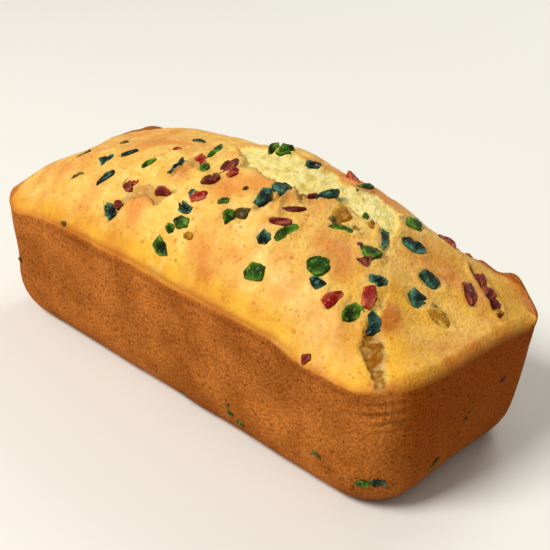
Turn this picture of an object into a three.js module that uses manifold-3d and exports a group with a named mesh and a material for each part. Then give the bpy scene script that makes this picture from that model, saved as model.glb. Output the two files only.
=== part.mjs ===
// A fruit cake loaf: one solid baked in a loaf tin, flared walls under a high domed top
// that has torn open along its crest, with dice of candied fruit standing in the crust.
// Units are millimetres. X runs along the loaf, Y across it and Z up from the table.

import * as THREE from 'three';
import { mergeVertices } from 'three/addons/utils/BufferGeometryUtils.js';
import Module from 'manifold-3d';

const wasm = await Module();
wasm.setup();

// Driving dimensions of the loaf

const LOAF_LENGTH = 200;
const LOAF_WIDTH = 92;
const RIM_HEIGHT = 49;
const CORNER_RADIUS = 18;
const WALL_TAPER = 3.5;
const BASE_ROUND_HEIGHT = 16;
const BASE_ROUND_INSET = 8.8;
const CORNER_SHRINK = 0.4;

// The dome's rise above the rim, along the crest: a slanted parabola that dies away at both
// ends. The left end is plump and the right end slopes gently.

const CREST_RISE = 36.6;
const CREST_LEAN = 12.6;
const CREST_SAG = 2.7;
const LEFT_SHOULDER = { length: 0.26, power: 0.62 };
const RIGHT_SHOULDER = { length: 0.39, power: 1.48 };
const DOME_FULLNESS = 3.2;

// Broad swells of the top, as they rose: place, height and spread of each

const SWELLS = [
  { x: -92, y: -42, height: -3.5, spread: 14 },
  { x: -84, y: -8, height: -3, spread: 12 },
  { x: -30, y: 20, height: -0.9, spread: 16 },
  { x: 4, y: 22, height: 1.9, spread: 8 },
  { x: 63, y: -46, height: -2.2, spread: 6 },
  { x: 80, y: -47, height: -5.2, spread: 9 },
  { x: 97, y: -34, height: 4.6, spread: 15 },
  { x: 100, y: 4, height: 2.6, spread: 13 },
  { x: 96, y: 38, height: -3, spread: 8 },
];

// Thin crust that climbed the tin's edge and stands proud behind the top

const FIN_THICKNESS = 4;
const FINS = [
  { x: 82, y: 46, height: 4.2, spread: 4 },
  { x: 67.5, y: 46, height: 3.5, spread: 5 },
  { x: 65.5, y: 46, height: -1, spread: 1.2 },
  { x: 62, y: 46, height: 1.6, spread: 1.6 },
  { x: 50, y: 46, height: 2.8, spread: 12 },
  { x: -99, y: 26, height: 7.4, spread: 12 },
  { x: -92, y: 44, height: 2.2, spread: 9 },
];

// The end wall at +X turns over into the top with a rounded edge

const END_ROUND = { radius: 4, from: 80, over: 14, stopsAtY: 24 };

// The torn split: its middle line along the crest and down to the near corner, with half
// its width at each place, and the finer fissures that branch from it

const SPLIT_DEPTH = 2.2;
const SPLIT = [
  { x: -21, y: 6.5, half: 1.5 },
  { x: -9, y: 6, half: 6 },
  { x: 5, y: 2, half: 11 },
  { x: 25, y: 2, half: 11 },
  { x: 37, y: 8, half: 8.5 },
  { x: 48, y: 9.5, half: 8 },
  { x: 56, y: 4, half: 5 },
  { x: 64, y: -6, half: 2.8 },
  { x: 72, y: -15, half: 2 },
  { x: 77, y: -28, half: 3 },
  { x: 84, y: -35, half: 3.4 },
  { x: 90.5, y: -41, half: 2.6 },
];
const FISSURE_DEPTH = 2.6;
const FISSURES = [
  [{ x: 23, y: -6, half: 2.2 }, { x: 24, y: -14, half: 1.8 }, { x: 21, y: -25, half: 0.8 }],
  [{ x: -33, y: -40, half: 0.8 }, { x: -26, y: -33, half: 2 }, { x: -12, y: -30, half: 0.8 }],
  [{ x: 74, y: 28.6, half: 0.8 }, { x: 85, y: 23.2, half: 3 }, { x: 94.6, y: 16.6, half: 1.6 }],
];
const TEAR = { step: 4.6, ragged: 0.22, wall: 0.75, sag: 1.2, clear: 2.5, fullDepthHalf: 4.5 };
const TEAR_REACH = 1.1;
const TEAR_SLOPE = { split: 0.3, fissure: 0.6 };
const TEAR_SEED = 411;

// Slow unevenness of the baked top: wave vectors in radians per millimetre and heights

const LUMPS = [
  { alongX: 0.13, alongY: 0.07, phase: 0.4, height: 0.3 },
  { alongX: -0.06, alongY: 0.19, phase: 2.1, height: 0.25 },
  { alongX: 0.21, alongY: -0.14, phase: 4.4, height: 0.2 },
];

// Mesh fineness

const STEPS_ALONG = 52;
const STEPS_ACROSS = 26;
const BUNCHING = 0.55;
const WALL_STEPS = 2;
const BASE_STEPS = 4;
const SLOPE_STEP = 0.5;
const MERGE_DISTANCE = 1e-5;

// A lump of fruit: sides of its outline, how deep it sits as a share of its lesser size, the
// scale of its outline at the foot and the top, and how far the middle bulges at both

const LUMP = { sides: 8, sunk: 0.35, foot: 0.85, top: 0.8, keel: 1.3, crown: 1.15 };

// Outline forms of the fruit: how square, how lobed, how tapered and how bent each one is

const FORMS = {
  block: { square: 4, lobes: 0, lobe: 0, taper: 0, bend: 0 },
  round: { square: 2, lobes: 0, lobe: 0, taper: 0, bend: 0 },
  strip: { square: 3, lobes: 0, lobe: 0, taper: 0.1, bend: 0 },
  wedge: { square: 2, lobes: 3, lobe: 0.16, taper: 0.25, bend: 0 },
  clover: { square: 2, lobes: 3, lobe: 0.14, taper: 0, bend: 0 },
  drop: { square: 2, lobes: 0, lobe: 0, taper: 0.4, bend: 0 },
  bean: { square: 2.4, lobes: 2, lobe: 0.08, taper: 0, bend: 0.3 },
};

// Dice of candied fruit in the crust: place, length, width, height above the crust, turn
// about the crust's normal in degrees, and outline form

const FRUIT = [
  // green
  [-32.7, -23.1, 7, 3.2, 1, 57, 'strip'],
  [-1.6, -35.2, 6.6, 5.2, 1.3, 20, 'block'],
  [-5.6, -41.2, 9.4, 5, 1.2, -45, 'drop'],
  [-10.5, -16, 7, 3.6, 1.3, 120, 'strip'],
  [-16.4, -5.2, 11, 4.4, 2.1, 107, 'strip'],
  [9.2, -25.8, 5, 3.2, 0.95, 22, 'wedge'],
  [14.8, -29.2, 6.6, 5.2, 1.3, -55, 'block'],
  [36.2, -25, 8.6, 4.2, 1.3, 84, 'bean'],
  [34.6, -37, 8.2, 7, 1.3, 18, 'block'],
  [47, -10, 8.4, 2.8, 1.1, 39, 'strip'],
  [-3.4, 11.4, 5.6, 3.8, 3, 42, 'wedge'],
  [1.8, 12.4, 6, 4, 2.9, 28, 'wedge'],
  [34.5, 17.5, 9, 3, 1.3, 85, 'strip'],
  [56, 18.2, 8.6, 6.8, 1.5, 85, 'block'],
  [58.6, -8.8, 7, 6.6, 1.6, 56, 'clover'],
  [51.7, -26.2, 8, 7.4, 1.5, 63, 'round'],
  [69.5, -29.5, 7.6, 6.4, 1.5, 63, 'bean'],
  // blue green
  [-54.6, -24.8, 9.4, 3.8, 1, 69, 'wedge'],
  [-47.6, -30.6, 9.4, 4.2, 1.1, 54, 'wedge'],
  [-35.8, -38.6, 9, 5.6, 1.5, -47, 'block'],
  [-48, -19, 7.2, 2.8, 0.9, 52, 'strip'],
  [-3.4, -32.2, 7, 4.4, 1.4, -3, 'block'],
  [-19.5, -20.6, 9, 6, 1.4, 91, 'wedge'],
  [-33, 2.5, 5.6, 3.4, 1.2, 41, 'block'],
  [22, -10.4, 11, 6.6, 3.4, 96, 'block'],
  [20.8, -19.4, 9, 6, 2.6, 115, 'block'],
  [33.4, -1.6, 9.4, 4.8, 2.6, 80, 'round'],
  [31.7, -29.9, 7.2, 5.4, 1.3, -17, 'drop'],
  [15.2, 12.4, 6, 4.2, 1.3, 41, 'block'],
  [62.2, 9.8, 8.4, 5.8, 1.5, 37, 'bean'],
  [56, 1.2, 11, 4.2, 1.3, -52, 'strip'],
  [74, 4.6, 7.8, 7.4, 1.5, 74, 'clover'],
  [77.6, -7.4, 7.6, 7, 1.5, 61, 'clover'],
  [67.4, -15.8, 6.4, 5.2, 1.5, 63, 'block'],
  [75.7, -27.8, 8.6, 5.6, 1.6, -40, 'block'],
  [55.2, -30.2, 5.4, 4.4, 1.1, 20, 'round'],
  // red
  [-15.5, -14, 8, 6, 1.5, -20, 'clover'],
  [2.6, -15, 5, 4.6, 1.4, 92, 'block'],
  [-1.6, -28, 7, 4.8, 1.2, 38, 'block'],
  [28.3, 18.1, 7.2, 4.8, 1.9, 10, 'block'],
  [62.2, -30.5, 7, 5.4, 1.3, 75, 'drop'],
  [69.8, -23.2, 10.4, 5.4, 1.5, -43, 'drop'],
  // dark red
  [-33.1, -31.8, 8.4, 4.4, 1.2, -32, 'drop'],
  [-16.8, -30.1, 7, 4.6, 1.2, 7, 'clover'],
  [-3.2, -20, 7.8, 6.6, 1.6, 114, 'clover'],
  [-3.2, -12, 9.2, 5.6, 1.7, 111, 'bean'],
  [31.2, -6.8, 6, 4, 2.8, 66, 'block'],
  [32, -16.5, 7.4, 3, 1, 42, 'strip'],
  [32.4, -23.4, 8.4, 3.6, 1.2, 22, 'strip'],
  [60.2, -13, 6.8, 4.6, 1.3, 91, 'wedge'],
  [62.2, 30, 8.4, 4.8, 1.9, 6, 'strip'],
  [84.2, 13.6, 9.6, 5.2, 1.2, -34, 'bean'],
  [78.8, 26.4, 8.4, 4.4, 2.5, -28, 'strip'],
  [84.6, 23.4, 6.4, 4.8, 2.6, -28, 'bean'],
  [88.8, 20.8, 6, 4.8, 2.4, -32, 'block'],
  [64.6, -44.4, 5.2, 4.2, 1, -52, 'wedge'],
  // amber, cream and olive
  [42.6, -5.8, 8.6, 6.4, 2.2, -12, 'block'],
  [85.4, -5.8, 9.2, 5, 2, 4, 'block'],
  [91.8, 18.4, 4.6, 3.8, 2, 20, 'block'],
  [18.8, -27.1, 6, 5.2, 1.2, 19, 'block'],
  [43.4, -9.6, 8, 3, 1.3, -4, 'strip'],
];

// The rest of the fruit, on the far slope, lies in rows that a seeded draw scatters

const FAR_ROWS = [
  { y: 36, from: -78, to: 46 },
  { y: 42, from: -84, to: 50 },
];
const FAR_STEP = 13;
const FAR_JITTER = { x: 4, y: 2 };
const FAR_GAP = 8;
const FAR_LENGTH = { least: 4.5, more: 3.5 };
const FAR_SLIMNESS = { least: 0.5, more: 0.35 };
const FAR_HEIGHT = 1.5;
const FAR_SEED = 2027;

// Helpers

function smoothstep(t) {
  const c = Math.min(Math.max(t, 0), 1);
  return c * c * (3 - 2 * c);
}

function lerp(a, b, t) {
  return a + (b - a) * t;
}

// Park and Miller's generator: the same draws every time
function seeded(seed) {
  let state = seed;
  return () => {
    state = (state * 48271) % 2147483647;
    return state / 2147483647;
  };
}

// Sum of round hills, each a place, a height and a spread
function hills(list, x, y) {
  let sum = 0;
  for (const h of list) {
    const far = (x - h.x) ** 2 + (y - h.y) ** 2;
    sum += h.height * Math.exp(-far / (2 * h.spread ** 2));
  }
  return sum;
}

// How far a point of the plan lies inside the rounded outline
function edgeDistance(x, y) {
  const cornerX = Math.abs(x) - (LOAF_LENGTH / 2 - CORNER_RADIUS);
  const cornerY = Math.abs(y) - (LOAF_WIDTH / 2 - CORNER_RADIUS);
  if (cornerX > 0 && cornerY > 0) {
    return Math.max(CORNER_RADIUS - Math.hypot(cornerX, cornerY), 0);
  }
  return CORNER_RADIUS - Math.max(cornerX, cornerY);
}

function crestRise(u) {
  const line = CREST_RISE + CREST_LEAN * u - CREST_SAG * u * u;
  const left = 1 - Math.exp(-((1 + u) ** LEFT_SHOULDER.power) / LEFT_SHOULDER.length);
  const right = 1 - Math.exp(-((1 - u) ** RIGHT_SHOULDER.power) / RIGHT_SHOULDER.length);
  return line * left * right;
}

function lumps(x, y) {
  let sum = 0;
  for (const wave of LUMPS) {
    sum += wave.height * Math.sin(wave.alongX * x + wave.alongY * y + wave.phase);
  }
  return sum;
}

// The top as it rose, before it tore
function risenTop(x, y) {
  const u = Math.min(Math.max(x / (LOAF_LENGTH / 2), -1), 1);
  const v = Math.min(Math.abs(y) / (LOAF_WIDTH / 2), 1);
  const inside = edgeDistance(x, y);
  const dome = crestRise(u) * (1 - v ** DOME_FULLNESS);
  const fins = hills(FINS, x, y) * Math.exp(-inside / FIN_THICKNESS);
  const atEnd = smoothstep((x - END_ROUND.from) / END_ROUND.over);
  const clearOfFin = 1 - smoothstep((y - END_ROUND.stopsAtY) / END_ROUND.over);
  const near = Math.max(1 - inside / END_ROUND.radius, 0);
  const turn = END_ROUND.radius * (1 - Math.sqrt(1 - near * near)) * atEnd * clearOfFin;
  return RIM_HEIGHT + dome + hills(SWELLS, x, y) + fins + lumps(x, y) - turn;
}

// Nearness to a line of stations: 0 on the line, 1 at half the width away, more beyond
function tearNearness(stations, x, y) {
  let least = Infinity;
  for (let i = 1; i < stations.length; i += 1) {
    const a = stations[i - 1];
    const b = stations[i];
    const spanX = b.x - a.x;
    const spanY = b.y - a.y;
    const along = ((x - a.x) * spanX + (y - a.y) * spanY) / (spanX ** 2 + spanY ** 2);
    const t = Math.min(Math.max(along, 0), 1);
    const away = Math.hypot(x - a.x - spanX * t, y - a.y - spanY * t);
    least = Math.min(least, away / lerp(a.half, b.half, t));
  }
  return least;
}

// The surface that fruit rests on: the risen top, or the floor of a tear where it is open
function cakeTop(x, y) {
  const splitOpen = smoothstep((TEAR_REACH - tearNearness(SPLIT, x, y)) / TEAR_SLOPE.split);
  let deepest = SPLIT_DEPTH * splitOpen;
  for (const fissure of FISSURES) {
    const open = smoothstep((TEAR_REACH - tearNearness(fissure, x, y)) / TEAR_SLOPE.fissure);
    deepest = Math.max(deepest, FISSURE_DEPTH * open);
  }
  return risenTop(x, y) - deepest;
}

// A place in the rounded plan for u and v from -1 to 1: straight in the middle, and bent
// round the corner's centre within the corners
function planPoint(u, v, inset) {
  const halfLength = LOAF_LENGTH / 2 - inset;
  const halfWidth = LOAF_WIDTH / 2 - inset;
  const radius = CORNER_RADIUS - CORNER_SHRINK * inset;
  const x = Math.abs(u) * halfLength;
  const y = Math.abs(v) * halfWidth;
  const p = x - (halfLength - radius);
  const q = y - (halfWidth - radius);
  if (p <= 0 || q <= 0) {
    return { x: Math.sign(u) * x, y: Math.sign(v) * y };
  }
  const reach = Math.max(p, q);
  const angle = p >= q ? (Math.PI / 4) * (q / p) : Math.PI / 2 - (Math.PI / 4) * (p / q);
  return {
    x: Math.sign(u) * (halfLength - radius + reach * Math.cos(angle)),
    y: Math.sign(v) * (halfWidth - radius + reach * Math.sin(angle)),
  };
}

// Grid steps from -1 to 1, closer together towards both ends
function spaced(i, steps) {
  const quarter = (BUNCHING * Math.PI) / 2;
  const t = (2 * i) / steps - 1;
  return Math.sin(quarter * t) / Math.sin(quarter);
}

function meshFrom(positions, indices) {
  const geometry = new THREE.BufferGeometry();
  geometry.setAttribute('position', new THREE.Float32BufferAttribute(positions, 3));
  geometry.setIndex(indices);
  return geometry;
}

// The loaf's body: a grid over the top, rings down the walls and round the base's edge,
// and a flat fan underneath
function loafBody() {
  const positions = [];
  const indices = [];
  const rowLength = STEPS_ACROSS + 1;
  for (let i = 0; i <= STEPS_ALONG; i += 1) {
    for (let j = 0; j <= STEPS_ACROSS; j += 1) {
      const { x, y } = planPoint(spaced(i, STEPS_ALONG), spaced(j, STEPS_ACROSS), 0);
      positions.push(x, y, risenTop(x, y));
    }
  }
  for (let i = 0; i < STEPS_ALONG; i += 1) {
    for (let j = 0; j < STEPS_ACROSS; j += 1) {
      const a = i * rowLength + j;
      const b = a + rowLength;
      indices.push(a, b, b + 1, a, b + 1, a + 1);
    }
  }

  const count = (steps) => Array.from({ length: steps }, (_, k) => k);
  const border = [
    ...count(STEPS_ALONG).map((k) => [k, 0]),
    ...count(STEPS_ACROSS).map((k) => [STEPS_ALONG, k]),
    ...count(STEPS_ALONG).map((k) => [STEPS_ALONG - k, STEPS_ACROSS]),
    ...count(STEPS_ACROSS).map((k) => [0, STEPS_ACROSS - k]),
  ];

  let ring = border.map(([i, j]) => i * rowLength + j);
  const addRing = (place) => {
    const next = border.map(([i, j]) => {
      const u = spaced(i, STEPS_ALONG);
      const v = spaced(j, STEPS_ACROSS);
      const rimZ = positions[3 * (i * rowLength + j) + 2];
      const { height, inset } = place(rimZ);
      const taper = WALL_TAPER * Math.max(1 - height / RIM_HEIGHT, 0);
      const { x, y } = planPoint(u, v, taper + inset);
      positions.push(x, y, height);
      return positions.length / 3 - 1;
    });
    for (let k = 0; k < border.length; k += 1) {
      const after = (k + 1) % border.length;
      indices.push(ring[k], next[k], next[after], ring[k], next[after], ring[after]);
    }
    ring = next;
  };
  for (let k = 1; k <= WALL_STEPS; k += 1) {
    const t = k / WALL_STEPS;
    addRing((rimZ) => ({ height: lerp(rimZ, BASE_ROUND_HEIGHT, t), inset: 0 }));
  }
  for (let k = 1; k <= BASE_STEPS; k += 1) {
    const angle = ((k / BASE_STEPS) * Math.PI) / 2;
    const height = BASE_ROUND_HEIGHT * (1 - Math.sin(angle));
    const inset = BASE_ROUND_INSET * (1 - Math.cos(angle));
    addRing(() => ({ height, inset }));
  }

  const centre = positions.length / 3;
  positions.push(0, 0, 0);
  for (let k = 0; k < ring.length; k += 1) {
    indices.push(ring[k], centre, ring[(k + 1) % ring.length]);
  }
  return meshFrom(positions, indices);
}

// What a tear removes: ragged sections swept along its stations, each with steep sides, a
// floor that sags in the middle and a lid well above the top
function tearVoid(stations, depth, draw) {
  const line = stations.map((s) => new THREE.Vector3(s.x, s.y, s.half));
  const curve = new THREE.CatmullRomCurve3(line);
  const count = Math.round(curve.getLength() / TEAR.step);
  const places = curve.getSpacedPoints(count);
  const positions = [];
  for (let k = 0; k <= count; k += 1) {
    const before = places[Math.max(k - 1, 0)];
    const after = places[Math.min(k + 1, count)];
    const span = Math.hypot(after.x - before.x, after.y - before.y);
    const sideX = -(after.y - before.y) / span;
    const sideY = (after.x - before.x) / span;
    const half = places[k].z;
    const deep = depth * Math.min(half / TEAR.fullDepthHalf, 1);
    const left = -half * (1 + TEAR.ragged * (2 * draw() - 1));
    const right = half * (1 + TEAR.ragged * (2 * draw() - 1));
    const section = [
      [left, TEAR.clear],
      [left * TEAR.wall, -deep],
      [0, -deep * TEAR.sag],
      [right * TEAR.wall, -deep],
      [right, TEAR.clear],
      [0, 2 * TEAR.clear],
    ];
    for (const [away, lift] of section) {
      const x = places[k].x + sideX * away;
      const y = places[k].y + sideY * away;
      positions.push(x, y, risenTop(x, y) + lift);
    }
  }
  const indices = [];
  const sides = positions.length / 3 / (count + 1);
  for (let k = 0; k < count; k += 1) {
    for (let i = 0; i < sides; i += 1) {
      const a = k * sides + i;
      const b = k * sides + ((i + 1) % sides);
      indices.push(a, b, b + sides, a, b + sides, a + sides);
    }
  }
  const last = count * sides;
  for (let i = 1; i < sides - 1; i += 1) {
    indices.push(0, i + 1, i);
    indices.push(last, last + i, last + i + 1);
  }
  return meshFrom(positions, indices);
}

// One die of fruit: a flat-topped lump with a lobed outline, its foot sunk in the crust
function fruitLump(x, y, length, width, height, turnDegrees, formName) {
  const form = FORMS[formName];
  const slopeX = (risenTop(x + SLOPE_STEP, y) - risenTop(x - SLOPE_STEP, y)) / (2 * SLOPE_STEP);
  const slopeY = (risenTop(x, y + SLOPE_STEP) - risenTop(x, y - SLOPE_STEP)) / (2 * SLOPE_STEP);
  const normal = new THREE.Vector3(-slopeX, -slopeY, 1).normalize();
  const turn = THREE.MathUtils.degToRad(turnDegrees);
  const heading = new THREE.Vector3(Math.cos(turn), Math.sin(turn), 0);
  const along = heading.sub(normal.clone().multiplyScalar(heading.dot(normal))).normalize();
  const across = new THREE.Vector3().crossVectors(normal, along);
  const seat = new THREE.Vector3(x, y, cakeTop(x, y));

  const sunk = LUMP.sunk * Math.min(length, width);
  const levels = [
    { lift: -sunk, scale: LUMP.foot },
    { lift: height, scale: LUMP.top },
  ];
  const positions = [];
  const place = (a, b, lift) => {
    const point = seat.clone().addScaledVector(along, a).addScaledVector(across, b);
    point.addScaledVector(normal, lift);
    positions.push(point.x, point.y, point.z);
  };
  place(0, 0, -sunk * LUMP.keel);
  for (const level of levels) {
    for (let k = 0; k < LUMP.sides; k += 1) {
      const angle = ((k + 0.5) / LUMP.sides) * 2 * Math.PI;
      const c = Math.cos(angle);
      const s = Math.sin(angle);
      const square = (Math.abs(c) ** form.square + Math.abs(s) ** form.square) ** (-1 / form.square);
      const radius = level.scale * square * (1 + form.lobe * Math.cos(form.lobes * angle));
      const a = (length / 2) * radius * c;
      const b = (width / 2) * (radius * s * (1 - form.taper * c) - form.bend * c * c);
      place(a, b, level.lift);
    }
  }
  place(0, 0, height * LUMP.crown);

  const indices = [];
  const top = 1 + levels.length * LUMP.sides;
  for (let k = 0; k < LUMP.sides; k += 1) {
    const after = (k + 1) % LUMP.sides;
    const low = 1 + k;
    const lowAfter = 1 + after;
    const high = low + LUMP.sides;
    const highAfter = lowAfter + LUMP.sides;
    indices.push(0, lowAfter, low);
    indices.push(low, lowAfter, highAfter, low, highAfter, high);
    indices.push(high, highAfter, top);
  }
  return meshFrom(positions, indices);
}

// Pieces for the far slope, kept clear of those already placed
function farFruit() {
  const draw = seeded(FAR_SEED);
  const forms = Object.keys(FORMS);
  const placed = [...FRUIT];
  const scattered = [];
  for (const row of FAR_ROWS) {
    for (let x = row.from; x <= row.to; x += FAR_STEP) {
      const px = x + FAR_JITTER.x * (2 * draw() - 1);
      const py = row.y + FAR_JITTER.y * (2 * draw() - 1);
      const form = forms[Math.floor(forms.length * draw())];
      const length = FAR_LENGTH.least + FAR_LENGTH.more * draw();
      const width = length * (FAR_SLIMNESS.least + FAR_SLIMNESS.more * draw());
      const turn = 180 * draw();
      const clear = placed.every((f) => Math.hypot(f[0] - px, f[1] - py) > FAR_GAP);
      if (clear) {
        const piece = [px, py, length, width, FAR_HEIGHT, turn, form];
        placed.push(piece);
        scattered.push(piece);
      }
    }
  }
  return scattered;
}

function toSolid(geometry) {
  const bare = geometry.clone();
  bare.deleteAttribute('normal');
  bare.deleteAttribute('uv');
  const merged = mergeVertices(bare, MERGE_DISTANCE);
  return new wasm.Manifold(
    new wasm.Mesh({
      numProp: 3,
      vertProperties: new Float32Array(merged.attributes.position.array),
      triVerts: new Uint32Array(merged.index.array),
    }),
  );
}

function toGeometry(solid) {
  const mesh = solid.getMesh();
  return meshFrom(Array.from(mesh.vertProperties), Array.from(mesh.triVerts));
}

function fusedLoaf() {
  const draw = seeded(TEAR_SEED);
  let solid = toSolid(loafBody());
  solid = solid.subtract(toSolid(tearVoid(SPLIT, SPLIT_DEPTH, draw)));
  for (const fissure of FISSURES) {
    solid = solid.subtract(toSolid(tearVoid(fissure, FISSURE_DEPTH, draw)));
  }
  for (const piece of [...FRUIT, ...farFruit()]) {
    solid = solid.add(toSolid(fruitLump(...piece)));
  }
  return toGeometry(solid);
}

// The model

const crust = new THREE.MeshStandardMaterial({ color: 0xd99a4a, roughness: 0.75, metalness: 0 });
const loaf = new THREE.Mesh(fusedLoaf(), crust);
loaf.name = 'fruit_cake_loaf';

const cake = new THREE.Group();
cake.add(loaf);

export default cake;
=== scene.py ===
"""Dress a fruit cake loaf: browned crust, torn crumb and candied fruit, on a plain floor.

Sizes are worked out in millimetres and put into the meshes in metres. X runs along the loaf,
Y across it and Z up from the table. A mask is a number from 0 to 1 at each vertex, which a
finish reads by its name. Noise is given with its cell in millimetres and its seed.
"""

import logging
from dataclasses import dataclass
from enum import Enum
from math import cos, pi, radians, sin

import bpy
import numpy as np
from mathutils import Matrix, Vector


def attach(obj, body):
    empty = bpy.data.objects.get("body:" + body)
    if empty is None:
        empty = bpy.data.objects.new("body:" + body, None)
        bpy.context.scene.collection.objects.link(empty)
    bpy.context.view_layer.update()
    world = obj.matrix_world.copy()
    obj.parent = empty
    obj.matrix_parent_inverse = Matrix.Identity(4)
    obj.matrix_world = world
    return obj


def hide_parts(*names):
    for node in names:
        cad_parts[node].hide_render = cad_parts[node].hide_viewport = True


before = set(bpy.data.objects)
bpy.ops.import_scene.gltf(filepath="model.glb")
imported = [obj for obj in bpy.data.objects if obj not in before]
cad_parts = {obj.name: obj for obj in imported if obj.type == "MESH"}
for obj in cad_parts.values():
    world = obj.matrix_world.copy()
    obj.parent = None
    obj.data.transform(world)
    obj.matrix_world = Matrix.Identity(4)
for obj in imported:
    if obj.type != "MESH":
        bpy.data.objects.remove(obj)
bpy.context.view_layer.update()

LOG = logging.getLogger("fruit_cake_loaf")
METRES = 0.001
CAKE_NODE = "fruit_cake_loaf"
BODY = "root"

NOISE_TABLE = 4096
NOISE_PRIMES = np.array([73856093, 19349663, 83492791])
DRAW_FACTOR = 48271
DRAW_MODULUS = 2147483647
GOLDEN_STEP = 0.618

Array = np.ndarray
Colour = tuple[float, float, float, float]
Row = tuple[float, float, float, float]
Line = tuple[tuple[float, float], ...]
Socket = bpy.types.NodeSocket
Value = Socket | float | tuple


# ---------------------------------------------------------------- numbers and fields


def smooth(t: Array) -> Array:
    """Ease from 0 to 1: t clipped to 0..1, then 3t^2 - 2t^3."""
    c = np.clip(t, 0.0, 1.0)
    return c * c * (3.0 - 2.0 * c)


def ramp(value: Array, start: float, length: float) -> Array:
    """Ease from 0 at a start to 1 a length further on."""
    return smooth((value - start) / length)


def bell(distance: Array, spread: float) -> Array:
    """A bump of height 1: exp of minus the square of distance over spread."""
    return np.exp(-((distance / spread) ** 2))


def lattice_noise(points: Array, cell: float, seed: int) -> Array:
    """Give a smooth random field over space.

    Every corner of a cubic lattice hashes into a seeded table of numbers from -1 to 1, and the
    eight corners round a point are blended with the weights 3t^2 - 2t^3.

    Args:
        points: places in millimetres, with x, y and z last.
        cell: side of a lattice cube in millimetres.
        seed: number of the random table.

    Returns:
        One value from -1 to 1 for each place.
    """
    table = np.random.default_rng(seed).uniform(-1.0, 1.0, NOISE_TABLE)
    scaled = np.asarray(points, float) / cell
    base = np.floor(scaled).astype(np.int64)
    weight = smooth(scaled - base)
    total = np.zeros(scaled.shape[:-1])
    for corner in range(8):
        step = np.array([corner, corner >> 1, corner >> 2]) & 1
        key = np.bitwise_xor.reduce((base + step) * NOISE_PRIMES, axis=-1)
        share = np.prod(np.where(step == 1, weight, 1.0 - weight), axis=-1)
        total += share * table[key & (NOISE_TABLE - 1)]
    return total


@dataclass(frozen=True)
class Noise:
    """Random unevenness: its height, the side of its coarsest cell, its seed and octaves."""

    height: float
    cell: float
    seed: int
    octaves: int = 3

    def at(self, points: Array) -> Array:
        """Height times the sum of the octaves, each with half the cell and half the height."""
        steps = [(2**k, self.seed + k) for k in range(self.octaves)]
        return self.height * sum(lattice_noise(points, self.cell / n, s) / n for n, s in steps)


def flat_points(x: Array, y: Array) -> Array:
    """Stack plan places x and y with a height of zero, for a field over the plan."""
    return np.stack([x, y, np.zeros_like(x)], axis=-1)


def line_distance(x: Array, y: Array, line: Line) -> tuple[Array, Array]:
    """Measure how far plan places lie from a bent line.

    The nearest point of each straight span is found by clipping the projection on it to the
    span, and the least distance over the spans is kept.

    Args:
        x: plan places along the loaf.
        y: plan places across it.
        line: the line's corners in order.

    Returns:
        The distances, and how far along the line the nearest points are, from 0 to 1.
    """
    ends = np.array(line, float)
    lengths = np.hypot(*np.diff(ends, axis=0).T)
    starts = np.concatenate([[0.0], np.cumsum(lengths)])
    least = np.full(x.shape, np.inf)
    where = np.zeros(x.shape)
    for k, length in enumerate(lengths):
        span = ends[k + 1] - ends[k]
        t = np.clip(((x - ends[k, 0]) * span[0] + (y - ends[k, 1]) * span[1]) / length**2, 0, 1)
        away = np.hypot(x - ends[k, 0] - span[0] * t, y - ends[k, 1] - span[1] * t)
        nearer = away < least
        least = np.where(nearer, away, least)
        where = np.where(nearer, (starts[k] + t * length) / starts[-1], where)
    return least, where


# ---------------------------------------------------------------- meshes


def make_piece(name: str, points: Array, quads: Array, triangles: Array) -> bpy.types.Object:
    """Make a smooth-shaded piece from arrays, at the origin.

    Args:
        name: name of the object and its mesh.
        points: vertices in millimetres, one row each.
        quads: vertex numbers of the four-sided faces, one row each.
        triangles: vertex numbers of the three-sided faces, one row each.

    Returns:
        The new object, linked to the scene.
    """
    mesh = bpy.data.meshes.new(name)
    corners = np.concatenate([quads.ravel(), triangles.ravel()]).astype(np.int32)
    sizes = np.concatenate([np.full(len(quads), 4), np.full(len(triangles), 3)])
    starts = np.concatenate([[0], np.cumsum(sizes)[:-1]]).astype(np.int32)
    mesh.vertices.add(len(points))
    mesh.vertices.foreach_set("co", (points * METRES).astype(np.float32).ravel())
    mesh.loops.add(len(corners))
    mesh.loops.foreach_set("vertex_index", corners)
    mesh.polygons.add(len(sizes))
    mesh.polygons.foreach_set("loop_start", starts)
    mesh.polygons.foreach_set("use_smooth", np.ones(len(sizes), bool))
    mesh.update(calc_edges=True)
    mesh.validate()
    piece = bpy.data.objects.new(name, mesh)
    bpy.context.scene.collection.objects.link(piece)
    return piece


def add_mask(piece: bpy.types.Object, name: str, values: Array) -> None:
    """Store one number per vertex, from 0 to 1, under a name that a finish can read."""
    layer = piece.data.attributes.new(name, "FLOAT", "POINT")
    layer.data.foreach_set("value", np.clip(values, 0.0, 1.0).astype(np.float32))


def settle(piece: bpy.types.Object, material: bpy.types.Material) -> None:
    """Give a piece its finish, let it ride on the body and stand for the cake's solid."""
    piece.data.materials.append(material)
    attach(piece, BODY)
    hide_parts(CAKE_NODE)


# ---------------------------------------------------------------- the loaf's form


@dataclass(frozen=True)
class Hill:
    """A round swelling of the top: place, height and spread in millimetres."""

    x: float
    y: float
    height: float
    spread: float

    def rise(self, x: Array, y: Array) -> Array:
        """Height times exp of minus the squared distance over twice the spread squared."""
        return self.height * np.exp(-((x - self.x) ** 2 + (y - self.y) ** 2) / (2 * self.spread**2))


def hills(*rows: Row) -> tuple[Hill, ...]:
    """Make swellings from rows of x, y, height and spread."""
    return tuple(Hill(*row) for row in rows)


def total_rise(swellings: tuple[Hill, ...], x: Array, y: Array) -> Array:
    """Sum the rise of several swellings."""
    return sum((hill.rise(x, y) for hill in swellings), np.zeros_like(x))


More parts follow.
